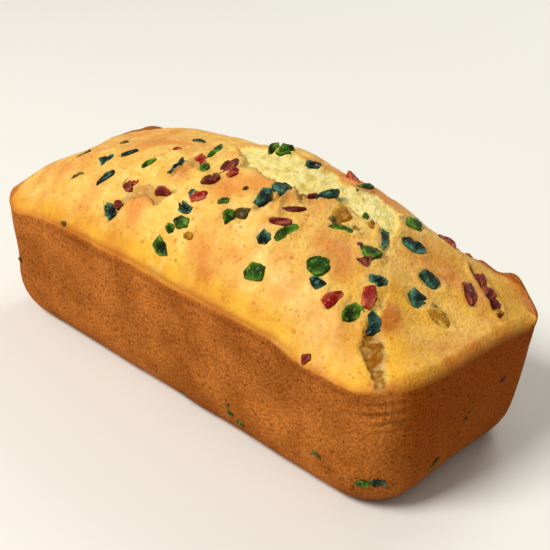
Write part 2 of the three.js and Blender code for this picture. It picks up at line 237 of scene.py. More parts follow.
@dataclass(frozen=True)
class Ridge:
    """A rounded ridge along a line, or a groove where it is taken off."""

    height: float
    at: float
    spread: float

    def rise(self, distance: Array) -> Array:
        """Height times a bell of the distance from the ridge's place over its spread."""
        return self.height * bell(distance - self.at, self.spread)


@dataclass(frozen=True)
class LoafForm:
    """The loaf as it came out of its tin, before it tore, with the sizes of its solid.

    The crest holds its rise over the rim, its lean and its sag. A shoulder holds the power and
    the length with which the crest dies away at an end. A wave holds its pitch along and across
    the loaf, its phase and its height.
    """

    length: float = 200.0
    width: float = 92.0
    rim: float = 49.0
    corner: float = 18.0
    taper: float = 3.5
    base_height: float = 16.0
    base_inset: float = 8.8
    corner_shrink: float = 0.4
    crest: tuple[float, float, float] = (36.6, 12.6, 2.7)
    left_shoulder: tuple[float, float] = (0.62, 0.26)
    right_shoulder: tuple[float, float] = (1.48, 0.39)
    fullness: float = 3.2
    end_from: float = 80.0
    end_side: float = 24.0
    end_ease: float = 14.0
    end_round: float = 4.0
    fin_width: float = 4.0
    swells: tuple[Hill, ...] = hills(
        (-92, -42, -3.5, 14), (-84, -8, -3, 12), (-30, 20, -0.9, 16), (4, 22, 1.9, 8),
        (63, -46, -2.2, 6), (80, -47, -5.2, 9), (97, -34, 4.6, 15), (100, 4, 2.6, 13),
        (96, 38, -3, 8),
    )
    fins: tuple[Hill, ...] = hills(
        (82, 46, 4.2, 4), (67.5, 46, 3.5, 5), (65.5, 46, -1, 1.2), (62, 46, 1.6, 1.6),
        (50, 46, 2.8, 12), (-99, 26, 7.4, 12), (-92, 44, 2.2, 9),
    )
    waves: tuple[Row, ...] = (
        (0.13, 0.07, 0.4, 0.3),
        (-0.06, 0.19, 2.1, 0.25),
        (0.21, -0.14, 4.4, 0.2),
    )

    def edge_distance(self, x: Array, y: Array) -> Array:
        """Distance in from the rounded outline: to the straight side, or the corner's arc."""
        cx = np.abs(x) - (self.length / 2 - self.corner)
        cy = np.abs(y) - (self.width / 2 - self.corner)
        round_part = self.corner - np.hypot(np.maximum(cx, 0), np.maximum(cy, 0))
        straight = self.corner - np.maximum(cx, cy)
        return np.maximum(np.where((cx > 0) & (cy > 0), round_part, straight), 0.0)

    def crest_rise(self, u: Array) -> Array:
        """Rise of the crest over the rim: a leaning parabola that dies away at both ends."""
        base, lean, sag = self.crest
        left_power, left_length = self.left_shoulder
        right_power, right_length = self.right_shoulder
        left = 1 - np.exp(-((1 + u) ** left_power) / left_length)
        right = 1 - np.exp(-((1 - u) ** right_power) / right_length)
        return (base + lean * u - sag * u * u) * left * right

    def end_face(self, x: Array, y: Array) -> Array:
        """Mask of the lower end's rounded edge: 1 there, 0 elsewhere."""
        return ramp(x, self.end_from, self.end_ease) * (1 - ramp(y, self.end_side, self.end_ease))

    def risen_top(self, x: Array, y: Array) -> Array:
        """Height of the top: rim, plus crest times 1 minus |v| to a power, plus its swellings.

        The end's edge is turned over by a quarter circle, and thin fins stand at the rim.

        Args:
            x: plan places along the loaf.
            y: plan places across it.

        Returns:
            Heights over the table.
        """
        u = np.clip(x / (self.length / 2), -1, 1)
        v = np.clip(np.abs(y) / (self.width / 2), 0, 1)
        inside = self.edge_distance(x, y)
        dome = self.crest_rise(u) * (1 - v**self.fullness)
        fins = total_rise(self.fins, x, y) * np.exp(-inside / self.fin_width)
        near = np.clip(1 - inside / self.end_round, 0, 1)
        turn = self.end_round * (1 - np.sqrt(1 - near * near)) * self.end_face(x, y)
        ripple = sum(h * np.sin(a * x + b * y + p) for a, b, p, h in self.waves)
        return self.rim + dome + total_rise(self.swells, x, y) + fins + ripple - turn

    def normal(self, x: Array, y: Array, step: float = 0.6) -> Array:
        """Unit normal of the risen top, from central differences over a small step."""
        slope_x = (self.risen_top(x + step, y) - self.risen_top(x - step, y)) / (2 * step)
        slope_y = (self.risen_top(x, y + step) - self.risen_top(x, y - step)) / (2 * step)
        normal = np.stack([-slope_x, -slope_y, np.ones_like(slope_x)], axis=-1)
        return normal / np.linalg.norm(normal, axis=-1, keepdims=True)

    def wall_inset(self, z: Array) -> Array:
        """How far the wall stands in at a height: the tin's taper and the base's quarter oval."""
        low = np.clip((self.base_height - z) / self.base_height, 0, 1)
        oval = self.base_inset * (1 - np.sqrt(1 - low * low))
        return self.taper * np.maximum(1 - z / self.rim, 0) + oval

    def plan(self, u: Array, v: Array, inset: Array) -> tuple[Array, Array]:
        """Place of u and v, from -1 to 1, in the rounded plan.

        x is u times the half length and y is v times the half width. Within a corner the point
        keeps the larger of its two distances past the corner's centre as a radius, and their
        ratio becomes the angle.

        Args:
            u: share of the half length.
            v: share of the half width.
            inset: how far the outline stands in.

        Returns:
            The places x and y.
        """
        half_x = self.length / 2 - inset
        half_y = self.width / 2 - inset
        radius = self.corner - self.corner_shrink * inset
        x = np.abs(u) * half_x
        y = np.abs(v) * half_y
        p = x - (half_x - radius)
        q = y - (half_y - radius)
        reach = np.maximum(p, q)
        safe = np.where(reach > 0, reach, 1.0)
        angle = np.where(p >= q, pi / 4 * (q / safe), pi / 2 - pi / 4 * (p / safe))
        bent = (p > 0) & (q > 0)
        x = np.where(bent, half_x - radius + reach * np.cos(angle), x)
        y = np.where(bent, half_y - radius + reach * np.sin(angle), y)
        return np.sign(u) * x, np.sign(v) * y


# ---------------------------------------------------------------- tears


@dataclass(frozen=True)
class SplitPlaces:
    """How plan places lie against the split.

    The masks are 1 inside it, where it is closed to a seam or broken, and where its crust
    stands up sharply.
    """

    spot: Array
    rim: Array
    to_near: Array
    to_far: Array
    inside: Array
    seam: Array
    broken: Array
    sharp: Array

    @property
    def edge(self) -> Array:
        """Distance to the nearer of the two edges."""
        return np.minimum(self.to_near, self.to_far)


@dataclass(frozen=True)
class Split:
    """The crest's torn opening: the crust's near and far edges, as y over x.

    It is wide along the crest, closes to a seam, and ends in broken crumb at the near corner.
    """

    near: Line = (
        (-21, 6.5), (-16, 3.4), (-12, 2.6), (-7, -1.2), (-3, -4.4), (2, -11), (8, -9.6),
        (13, -10.4), (17, -9.4), (20, -13), (23.4, -16), (24, -7.4), (27, -8.8), (31, -12.6),
        (32.6, -7.6), (33, -0.4), (37, -1.6), (43, 0), (48, 0.6), (51.5, 4.2), (57, 0),
        (62.4, -6.4), (66.4, -11.8), (71, -16), (73, -24), (74.5, -31), (77.4, -34.9),
        (80.5, -37.1), (83.7, -39.4), (88.2, -42.5), (91.5, -45.6),
    )
    far: Line = (
        (-21, 6.5), (-15, 10.6), (-9, 12.2), (-2, 11), (3, 9.2), (6, 13.6), (12, 12.2),
        (19, 12.4), (22, 15), (28, 12.6), (35, 14.2), (38, 19), (43, 17), (47, 18.4), (51, 17),
        (55, 12), (58, 5), (62, -1.4), (66, -7), (72, -13.6), (75, -20), (78, -25.8),
        (80.2, -28.8), (84.2, -31), (87.6, -34.2), (90.6, -37.8), (93.4, -40.8), (96, -43),
    )
    ragged_x: Noise = Noise(0.9, 3.4, 61)
    ragged_y: Noise = Noise(0.9, 3.4, 71)
    near_depth: float = 1.5
    near_reach: float = 8.0
    floor_depth: float = 0.3
    far_depth: float = 0.6
    far_reach: float = 4.0
    wide_edge: float = 1.1
    seam_depth: float = 0.75
    seam_edge: float = 1.8
    break_depth: float = 0.44
    break_lean: float = 1.21
    break_reach: float = 2.6
    break_edge: float = 0.9
    clods: Noise = Noise(0.3, 4.2, 17)
    crumbs: Noise = Noise(0.16, 1.7, 27, 2)
    grit: Noise = Noise(0.3, 1.1, 29, 1)
    clod_edge: float = 0.9
    more_clods: float = 2.2
    start_ease: float = 8.0
    seam_from: float = 54.0
    seam_ease: float = 8.0
    break_from: float = 72.0
    break_ease: float = 7.0
    rim_from: float = 0.2
    rim_close: float = 3.0
    rim_bare: float = 1.2
    plate_lift: float = 1.1
    plate_reach: float = 4.2
    far_lift: float = 0.6
    far_lift_reach: float = 2.6
    seam_lift: float = 0.15
    bare_edge: float = 0.7
    seam_bare_edge: float = 1.4
    bare_patches: Noise = Noise(1.0, 3.6, 37)
    lap: float = 0.7
    lap_width: float = 2.6
    near_singe: float = 0.34
    far_singe: float = 0.2
    singe_width: float = 1.3
    singe_patches: Noise = Noise(1.0, 2.5, 39, 1)

    def measure(self, x: Array, y: Array, rim: Array) -> SplitPlaces:
        """Say where places lie against the opening.

        The places are first shaken by noise, which makes both edges ragged.

        Args:
            x: plan places along the loaf.
            y: plan places across it.
            rim: their distances from the loaf's outline.

        Returns:
            The distances and masks.
        """
        spot = flat_points(x, y)
        shaken_x = x + self.ragged_x.at(spot)
        shaken_y = y + self.ragged_y.at(spot)
        near_y = np.interp(shaken_x, *np.array(self.near).T)
        far_y = np.interp(shaken_x, *np.array(self.far).T)
        along = (shaken_x > self.near[0][0]) & (shaken_x < self.far[-1][0])
        seam = ramp(x, self.seam_from, self.seam_ease)
        return SplitPlaces(
            spot=spot,
            rim=rim,
            to_near=line_distance(shaken_x, shaken_y, self.near)[0],
            to_far=line_distance(shaken_x, shaken_y, self.far)[0],
            inside=(shaken_y > near_y) & (shaken_y < far_y) & along,
            seam=seam,
            broken=ramp(x, self.break_from, self.break_ease),
            sharp=ramp(x, self.near[0][0], self.start_ease) * (1 - (1 - self.seam_lift) * seam),
        )

    def drop(self, place: SplitPlaces) -> Array:
        """How far the torn crumb lies below the risen top.

        Along the crest it falls from both edges by exp of minus the distance over a reach,
        deeper from the near one. Further on it turns into the seam's even depth, and then into
        broken crumb that leans on its near side. Noise stands on it as loose crumbs.

        Args:
            place: the places against the split.

        Returns:
            Depths, which count inside the split.
        """
        near = self.near_depth * np.exp(-place.to_near / self.near_reach) + self.floor_depth
        far = self.far_depth * np.exp(-place.to_far / self.far_reach)
        wide = (near + far) * smooth(place.edge / self.wide_edge)
        leaning = self.break_depth + self.break_lean * np.exp(-place.to_near / self.break_reach)
        narrow = self.seam_depth + (leaning - self.seam_depth) * place.broken
        ease = self.seam_edge + (self.break_edge - self.seam_edge) * place.broken
        narrow = narrow * smooth(place.edge / ease)
        loose = self.clods.at(place.spot) + self.crumbs.at(place.spot)
        loose = loose * (1 + self.more_clods * place.broken) + self.grit.at(place.spot) * place.seam
        drop = wide * (1 - place.seam) + narrow * place.seam
        drop = drop - loose * smooth(place.edge / self.clod_edge)
        return drop * ramp(place.rim, self.rim_from, self.rim_close)

    def lift(self, place: SplitPlaces) -> Array:
        """Rise of the crust beside the split: exp of minus the distance over a reach."""
        near = self.plate_lift * np.exp(-place.to_near / self.plate_reach)
        far = self.far_lift * np.exp(-place.to_far / self.far_lift_reach)
        return np.where(place.to_near < place.to_far, near, far) * place.sharp

    def bare(self, place: SplitPlaces) -> Array:
        """Mask of the torn crumb: patchy in the seam, and lapped by far crust where broken.

        Args:
            place: the places against the split.

        Returns:
            The mask.
        """
        closed = place.seam * (1 - place.broken)
        patchy = smooth(self.bare_patches.at(place.spot) + 0.75)
        ease = self.bare_edge + self.seam_bare_edge * closed
        bare = np.where(place.inside, smooth(place.edge / ease), 0.0)
        bare = bare * (1 - closed * (1 - patchy)) * smooth(place.rim / self.rim_bare)
        lapped = 1 - smooth(place.to_far / self.lap_width - 0.2 + 0.3 * (patchy - 0.5))
        return bare * (1 - self.lap * place.broken * lapped)

    def singe(self, place: SplitPlaces) -> Array:
        """Mask of the darker edge of the crust: a bell of the distance, uneven on the far side."""
        uneven = (place.to_far < place.to_near) * (0.5 + self.singe_patches.at(place.spot))
        singed = (self.near_singe + self.far_singe * uneven) * bell(place.edge, self.singe_width)
        return np.where(place.inside, 0.0, singed * place.sharp)


@dataclass(frozen=True)
class Flap:
    """A corner of crust that lifted off what lies behind it: its edge, its rise, the drop.

    The crust lies on the right of the edge as it runs.
    """

    edge: Line
    rise: float
    drop: float
    rise_reach: float = 3.2
    drop_reach: float = 1.8
    bare_width: float = 2.0
    ease: float = 0.5
    end_share: float = 0.12

    def lift(self, x: Array, y: Array) -> tuple[Array, Array]:
        """Raise the crust towards the edge and sink what lies behind it.

        The crust rises by rise times exp of minus the distance over a reach, and the other
        side falls likewise by drop. Both fade over a share of the edge at its two ends.

        Args:
            x: plan places along the loaf.
            y: plan places across it.

        Returns:
            Change of height, and a mask of the side behind the edge.
        """
        away, along = line_distance(x, y, self.edge)
        ends = np.array(self.edge, float)
        side = np.full(x.shape, np.inf)
        for start, stop in zip(ends[:-1], ends[1:]):
            span = (stop - start) / np.hypot(*(stop - start))
            side = np.minimum(side, (x - start[0]) * span[1] - (y - start[1]) * span[0])
        fade = smooth(np.minimum(along, 1 - along) / self.end_share)
        crust = smooth(side / self.ease + 0.5)
        rise = self.rise * np.exp(-away / self.rise_reach) * crust
        drop = self.drop * np.exp(-away / self.drop_reach) * (1 - crust)
        return (rise - drop) * fade, (1 - crust) * bell(away, self.bare_width) * fade


@dataclass(frozen=True)
class Fissure:
    """A fine tear that branches off: its line, half its width, its depth and its seed."""

    line: Line
    half: float
    depth: float
    seed: int
    shake: float = 0.5
    shake_cell: float = 2.4
    tip_share: float = 0.06

    def measure(self, x: Array, y: Array) -> tuple[Array, Array, Array]:
        """Say where places lie against the fissure, which is ragged and tapers like an oval.

        Args:
            x: plan places along the loaf.
            y: plan places across it.

        Returns:
            Mask of the opening, distance from its middle, and distance out from its edge.
        """
        shake = Noise(self.shake, self.shake_cell, self.seed).at(flat_points(x, y))
        away, along = line_distance(x + shake, y - shake, self.line)
        half = self.half * np.sqrt(np.clip(4 * along * (1 - along), self.tip_share, 1))
        return 1 - smooth(away / half), away, away - half


FLAPS: tuple[Flap, ...] = (
    Flap(((22.6, -24), (23.9, -7.8), (34.7, -15)), 0.9, 1.2),
    Flap(((-18.6, -25), (-18.6, -15.3), (-9.6, -18)), 1.3, 0.9),
    Flap(((-12.4, -11.9), (-17.7, 3.3), (-6, -1.4)), 1.1, 0.6),
    Flap(((34.8, -15.7), (27.4, -9.6), (34.7, -1.6)), 0.9, 0.9),
)

FISSURES: tuple[Fissure, ...] = (
    Fissure(((24, -7), (24.4, -15), (22, -25)), 1.5, 2.6, 31),
    Fissure(((27, -7), (29, -10), (32, -13)), 0.7, 1.2, 32),
    Fissure(((26, -14), (28.5, -18), (31, -22)), 0.6, 1.0, 33),
    Fissure(((-33, -41), (-31, -37), (-28, -34), (-23, -31.4), (-18, -33), (-12, -29)), 1.3, 2.0, 34),
    Fissure(((-17.4, -25), (-18.4, -18), (-13, -18.6), (-7, -17.4)), 0.7, 1.2, 35),
    Fissure(((74, 28.6), (80, 26), (85, 23.2), (90.2, 20), (94.6, 16.6)), 3.5, 3.0, 36),
)

PLATES: tuple[Hill, ...] = hills(
    (-25, -37, 1.5, 3.4), (-16, -21.5, 1.1, 2.6), (-13, -1, 0.9, 3.2), (8, -13.5, 1.0, 3.4),
    (27, -12, 1.1, 2.8), (36, -5, 0.9, 3.0), (85, 15.5, 0.9, 5.5), (56, 9, 0.8, 4.0),
    (78.6, -22, 1.0, 4.0),
)

TOASTED: tuple[Hill, ...] = hills(
    (-45, -1, 0.6, 7), (-50, -12, 0.55, 6), (-58, 6, 0.45, 8), (-30, -4, 0.4, 7),
    (-24, -36, 0.75, 3.4), (-15, -22, 0.8, 3.2), (-12, -2, 0.65, 4), (6, -21, 0.75, 5.5),
    (13, -14, 0.8, 4.5), (27, -12, 0.75, 3), (27, -24, 0.45, 4), (36, -6, 0.55, 4),
    (48, -17, 0.85, 5.5), (57, -20, 0.65, 4.5), (77.4, -20.8, 1.5, 2.8), (79, -25.4, 1.2, 2.0),
    (71, 13, 0.75, 6), (84, 17, 0.7, 6), (13, -37, 0.65, 5), (24, -39, 0.5, 5),
    (-25, -43, 0.35, 5), (-47, -38, 0.45, 7), (70, -36, 0.3, 5), (57, -39, 0.3, 5),
    (44, -34, 0.3, 6), (-80, 10, 0.45, 12), (-90, -18, 0.6, 13), (-70, -32, 0.45, 11),
    (95, -10, 0.3, 7), (15, 15, 0.7, 3), (24, 16.4, 0.9, 3.4), (32, 17, 0.9, 3.4),
    (41, 20.6, 0.7, 3.6), (40, 30, 0.5, 14), (-10, 34, 0.45, 16), (-50, 30, 0.4, 14),
)


@dataclass(frozen=True)
class Tears:
    """Every tear in the top: the split along the crest, its lifted corners and its branches."""

    form: LoafForm
    split: Split = Split()
    flap_bare: float = 0.4
    fissure_bare: float = 0.45
    fissure_in_split: float = 0.3
    fissure_lift: Ridge = Ridge(0.35, 0, 1.4)
    fissure_edge_shade: Ridge = Ridge(0.45, 0, 0.7)
    fissure_crack_shade: Ridge = Ridge(0.7, 0, 0.5)

    def change(self, x: Array, y: Array) -> tuple[Array, Array, Array]:
        """Work out what the tears do to the top.

        The split's crumb drops and its crust rises, flaps lift and sink on top of that, and
        fissures are cut in, each with a low swelling and lines of painted shade down its middle and
        along its edge.

        Args:
            x: plan places along the loaf.
            y: plan places across it.

        Returns:
            Change of height, crumb mask, and a mask of singed crust with painted shade in the
            fissures.
        """
        split = self.split
        place = split.measure(x, y, self.form.edge_distance(x, y))
        change = np.where(place.inside, -split.drop(place), split.lift(place))
        crumb = split.bare(place)
        scorch_and_shade = split.singe(place)
        for flap in FLAPS:
            lifted, behind = flap.lift(x, y)
            change = change + lifted
            crumb = np.maximum(crumb, self.flap_bare * behind)
            scorch_and_shade = scorch_and_shade * (1 - behind)
        crust = np.where(place.inside, 0.0, 1.0)
        share = np.where(place.inside, self.fissure_in_split, 1.0)
        for fissure in FISSURES:
            opened, middle, outer = fissure.measure(x, y)
            change = change - fissure.depth * opened * share
            change = change + self.fissure_lift.rise(outer) * crust
            crumb = np.maximum(crumb, self.fissure_bare * opened)
            # Painted shade: a dark line down the middle of each fissure, and another along its edge.
            crack_shade = self.fissure_crack_shade.rise(middle) * crust
            scorch_and_shade = np.maximum(scorch_and_shade, np.maximum(crack_shade, self.fissure_edge_shade.rise(outer)))
        return change, crumb, scorch_and_shade


# ---------------------------------------------------------------- fruit


class Form(Enum):
    """Outline of a piece: squareness, lobes, their depth, taper, bend and cut corners."""

    BLOCK = (5.0, 0, 0.0, 0.08, 0.0, 5)
    ROUND = (2.2, 0, 0.0, 0.0, 0.0, 7)
    STRIP = (3.4, 0, 0.0, 0.12, 0.0, 6)
    WEDGE = (2.2, 3, 0.12, 0.3, 0.0, 4)
    CLOVER = (2.0, 3, 0.17, 0.0, 0.0, 9)
    DROP = (2.0, 0, 0.0, 0.45, 0.0, 6)
    BEAN = (2.4, 2, 0.1, 0.0, 0.35, 8)


BLOCK, ROUND, STRIP, WEDGE, CLOVER, DROP, BEAN = Form


class Candy(Enum):
    """Kinds of candied fruit that were stirred into the batter."""

    GREEN = "candied_green"
    TEAL = "candied_blue_green"
    RED = "candied_red"
    MAROON = "candied_dark_red"
    AMBER = "candied_amber"
    OLIVE = "candied_olive"


@dataclass(frozen=True)
class Die:
    """One piece of fruit: plan place, length, width, height that shows, turn and outline."""

    x: float
    y: float
    length: float
    width: float
    height: float
    turn: float
    form: Form

    def spread_out(self, x: Array, y: Array) -> tuple[Array, Array]:
        """Measure plan places in the die's own half lengths and half widths.

        Args:
            x: plan places along the loaf.
            y: plan places across it.

        Returns:
            The distances from its middle, and a mask of the places that are near it.
        """
        turn = radians(self.turn)
        a = (x - self.x) * cos(turn) + (y - self.y) * sin(turn)
        b = -(x - self.x) * sin(turn) + (y - self.y) * cos(turn)
        near = np.maximum(np.abs(a), np.abs(b)) < self.length
        return np.hypot(a / (self.length / 2), b / (self.width / 2)), near


def dice(*rows: tuple) -> tuple[Die, ...]:
    """Make pieces of fruit from rows of x, y, length, width, height, turn and outline."""
    return tuple(Die(*row) for row in rows)


SHOWN: dict[Candy, tuple[Die, ...]] = {
    Candy.GREEN: dice(
        (-32.7, -23.1, 7, 3.2, 1.0, 57, STRIP), (-1.6, -35.2, 6.6, 5.2, 1.3, 20, BLOCK),
        (-4.6, -37.4, 4, 3.6, 1.1, 0, ROUND), (-5.6, -41.2, 9.4, 5, 1.2, -45, DROP),
        (-10.5, -16, 7, 3.6, 1.3, 120, STRIP), (-16.4, -5.2, 11, 4.4, 2.1, 107, STRIP),
        (9.2, -25.8, 5, 3.2, 0.95, 22, WEDGE), (14.8, -29.2, 6.6, 5.2, 1.3, -55, BLOCK),
        (36.2, -25, 8.6, 4.2, 1.3, 84, BEAN), (34.6, -37, 8.2, 7, 1.3, 18, BLOCK),
        (47, -10, 8.4, 2.8, 1.1, 39, STRIP), (-3.4, 11.4, 5.6, 3.8, 3.0, 42, WEDGE),
        (1.8, 12.4, 6, 4, 2.9, 28, WEDGE), (2.6, 9.8, 5.4, 2.2, 1.2, 36, STRIP),
        (34.5, 17.5, 9, 3, 1.3, 85, STRIP), (56, 18.2, 8.6, 6.8, 1.5, 85, BLOCK),
        (58.6, -8.8, 7, 6.6, 1.6, 56, CLOVER), (46, 4, 2.8, 2.4, 1.0, 0, ROUND),
        (51.7, -26.2, 8, 7.4, 1.5, 63, ROUND), (69.5, -29.5, 7.6, 6.4, 1.5, 63, BEAN),
    ),
    Candy.TEAL: dice(
        (-54.6, -24.8, 9.4, 3.8, 1.0, 69, WEDGE), (-47.6, -30.6, 9.4, 4.2, 1.1, 54, WEDGE),
        (-35.8, -38.6, 9, 5.6, 1.5, -47, BLOCK), (-48, -19, 7.2, 2.8, 0.9, 52, STRIP),
        (-3.4, -32.2, 7, 4.4, 1.4, -3, BLOCK), (-19.5, -20.6, 9, 6, 1.4, 91, WEDGE),
        (-33, 2.5, 5.6, 3.4, 1.2, 41, BLOCK), (-4.8, -27.4, 3.6, 3, 0.9, 0, ROUND),
        (22, -10.4, 11, 6.6, 3.4, 96, BLOCK), (20.8, -19.4, 9, 6, 2.6, 115, BLOCK),
        (33.4, -1.6, 9.4, 4.8, 2.6, 80, ROUND), (31.7, -29.9, 7.2, 5.4, 1.3, -17, DROP),
        (15.2, 12.4, 6, 4.2, 1.3, 41, BLOCK), (62.2, 9.8, 8.4, 5.8, 1.5, 37, BEAN),
        (56, 1.2, 11, 4.2, 1.3, -52, STRIP), (74, 4.6, 7.8, 7.4, 1.5, 74, CLOVER),
        (77.6, -7.4, 7.6, 7, 1.5, 61, CLOVER), (67.4, -15.8, 6.4, 5.2, 1.5, 63, BLOCK),
        (75.7, -27.8, 8.6, 5.6, 1.6, -40, BLOCK), (55.2, -30.2, 5.4, 4.4, 1.1, 20, ROUND),
    ),
    Candy.RED: dice(
        (-31, -30.2, 3.6, 3, 1.0, 0, ROUND), (-30.5, -11, 3.8, 3.2, 1.0, 30, ROUND),
        (-15.5, -14, 8, 6, 1.5, -20, CLOVER), (2.6, -15, 5, 4.6, 1.4, 92, BLOCK),
        (-1.6, -28, 7, 4.8, 1.2, 38, BLOCK), (28.3, 18.1, 7.2, 4.8, 1.9, 10, BLOCK),
        (62.2, -30.5, 7, 5.4, 1.3, 75, DROP), (69.8, -23.2, 10.4, 5.4, 1.5, -43, DROP),
    ),
    Candy.MAROON: dice(
        (-33.1, -31.8, 8.4, 4.4, 1.2, -32, DROP), (-32.6, -37, 4.4, 4, 1.0, 0, ROUND),
        (-16.8, -30.1, 7, 4.6, 1.2, 7, CLOVER), (-3.2, -20, 7.8, 6.6, 1.6, 114, CLOVER),
        (-3.2, -12, 9.2, 5.6, 1.7, 111, BEAN), (31.2, -6.8, 6, 4, 2.8, 66, BLOCK),
        (32, -16.5, 7.4, 3, 1.0, 42, STRIP), (32.4, -23.4, 8.4, 3.6, 1.2, 22, STRIP),
        (54.6, -9.6, 2.6, 2, 0.9, 0, ROUND), (60.2, -13, 6.8, 4.6, 1.3, 91, WEDGE),
        (62.2, 30, 8.4, 4.8, 1.9, 6, STRIP), (84.2, 13.6, 9.6, 5.2, 1.2, -34, BEAN),
        (78.8, 26.4, 8.4, 4.4, 2.5, -28, STRIP), (84.6, 23.4, 6.4, 4.8, 2.6, -28, BEAN),
        (88.8, 20.8, 6, 4.8, 2.4, -32, BLOCK), (64.6, -44.4, 5.2, 4.2, 1.0, -52, WEDGE),
    ),
    Candy.AMBER: dice(
        (3.6, -37, 4.4, 3, 0.8, 10, ROUND), (27, -7, 4.4, 3.2, 1.1, 30, BLOCK),
        (42.6, -5.8, 8.6, 6.4, 2.2, -12, BLOCK), (49, -6.2, 4, 3, 1.0, 30, BLOCK),
        (51, 1, 3.4, 2.8, 1.0, 0, ROUND), (85.4, -5.8, 9.2, 5, 2.0, 4, BLOCK),
        (91.8, 18.4, 4.6, 3.8, 2.0, 20, BLOCK),
    ),
    Candy.OLIVE: dice(
        (-72, -23, 9, 1.6, 0.6, 52, STRIP), (-61.5, -32.7, 6, 1.8, 0.6, 44, STRIP),
        (-64.8, -7.5, 5.4, 2.4, 0.9, 0, STRIP), (12, -19, 2.2, 2, 0.8, 0, ROUND),
        (18.8, -27.1, 6, 5.2, 1.2, 19, BLOCK), (-55, -44.6, 2.8, 1.8, 0.7, 0, ROUND),
        (43.4, -9.6, 8, 3, 1.3, -4, STRIP), (82.8, -3.4, 7, 3, 1.2, -4, STRIP),
    ),
}


@dataclass(frozen=True)
class WallFleck:
    """A bit of fruit that shows through a wall.

    Its place is an angle round the rounded corner, from 0 on the lower end to 90 on the near
    side, and a distance along the wall from there.
    """

    angle: float
    along: float
    height: float
    size: float
    candy: Candy


FLECKS: tuple[WallFleck, ...] = (
    WallFleck(90, 74.8, 5.7, 3.0, Candy.GREEN),
    WallFleck(90, 49.8, 10.9, 3.2, Candy.GREEN),
    WallFleck(90, 45.6, 8.7, 3.6, Candy.GREEN),
    WallFleck(90, 50.6, 14.2, 1.8, Candy.OLIVE),
    WallFleck(90, 10.8, 16.2, 4.2, Candy.OLIVE),
    WallFleck(90, 167, 24.6, 2.4, Candy.OLIVE),
    WallFleck(64, 0, 12.9, 4.8, Candy.GREEN),
    WallFleck(54, 0, 13.9, 2.4, Candy.GREEN),
    WallFleck(46, 0, 14.2, 5.0, Candy.TEAL),
    WallFleck(0, 25.4, 23.8, 2.6, Candy.OLIVE),
    WallFleck(0, 27, 26, 1.8, Candy.GREEN),
    WallFleck(0, 13.6, 12.5, 3.4, Candy.OLIVE),
    WallFleck(0, 11.6, 10.9, 2.0, Candy.GREEN),
    WallFleck(0, 46, 30, 2.6, Candy.MAROON),
)


@dataclass
class FarScatter:
    """Fruit on the far slope, in rows that a seeded draw scatters."""

    rows: tuple[tuple[float, float, float], ...] = ((36, -78, 46), (42, -84, 50))
    step: float = 13.0
    jitter: float = 4.0
    gap: float = 8.0
    least_length: float = 4.5
    more_length: float = 3.5
    least_width: float = 0.5
    more_width: float = 0.35
    height: float = 1.5
    state: int = 2027

    def number(self) -> float:
        """Give Park and Miller's next random number, from 0 to 1."""
        self.state = self.state * DRAW_FACTOR % DRAW_MODULUS
        return self.state / DRAW_MODULUS

    def draw(self) -> dict[Candy, list[Die]]:
        """Scatter the pieces, clear of those that show and of each other.

        Returns:
            The pieces of each kind of fruit.
        """
        kinds = (Candy.GREEN, Candy.TEAL, Candy.RED, Candy.MAROON)
        forms = tuple(Form)
        taken = [(die.x, die.y) for shown in SHOWN.values() for die in shown]
        found: dict[Candy, list[Die]] = {kind: [] for kind in kinds}
        for row_y, start, stop in self.rows:
            x = start
            while x <= stop:
                px = x + self.jitter * (2 * self.number() - 1)
                py = row_y + 0.5 * self.jitter * (2 * self.number() - 1)
                form = forms[int(len(forms) * self.number())]
                length = self.least_length + self.more_length * self.number()
                width = length * (self.least_width + self.more_width * self.number())
                turn = 180 * self.number()
                if all(np.hypot(px - a, py - b) > self.gap for a, b in taken):
                    kind = kinds[len(taken) % len(kinds)]
                    taken.append((px, py))
                    found[kind].append(Die(px, py, length, width, self.height, turn, form))
                x += self.step
        return found


# ---------------------------------------------------------------- node graphs


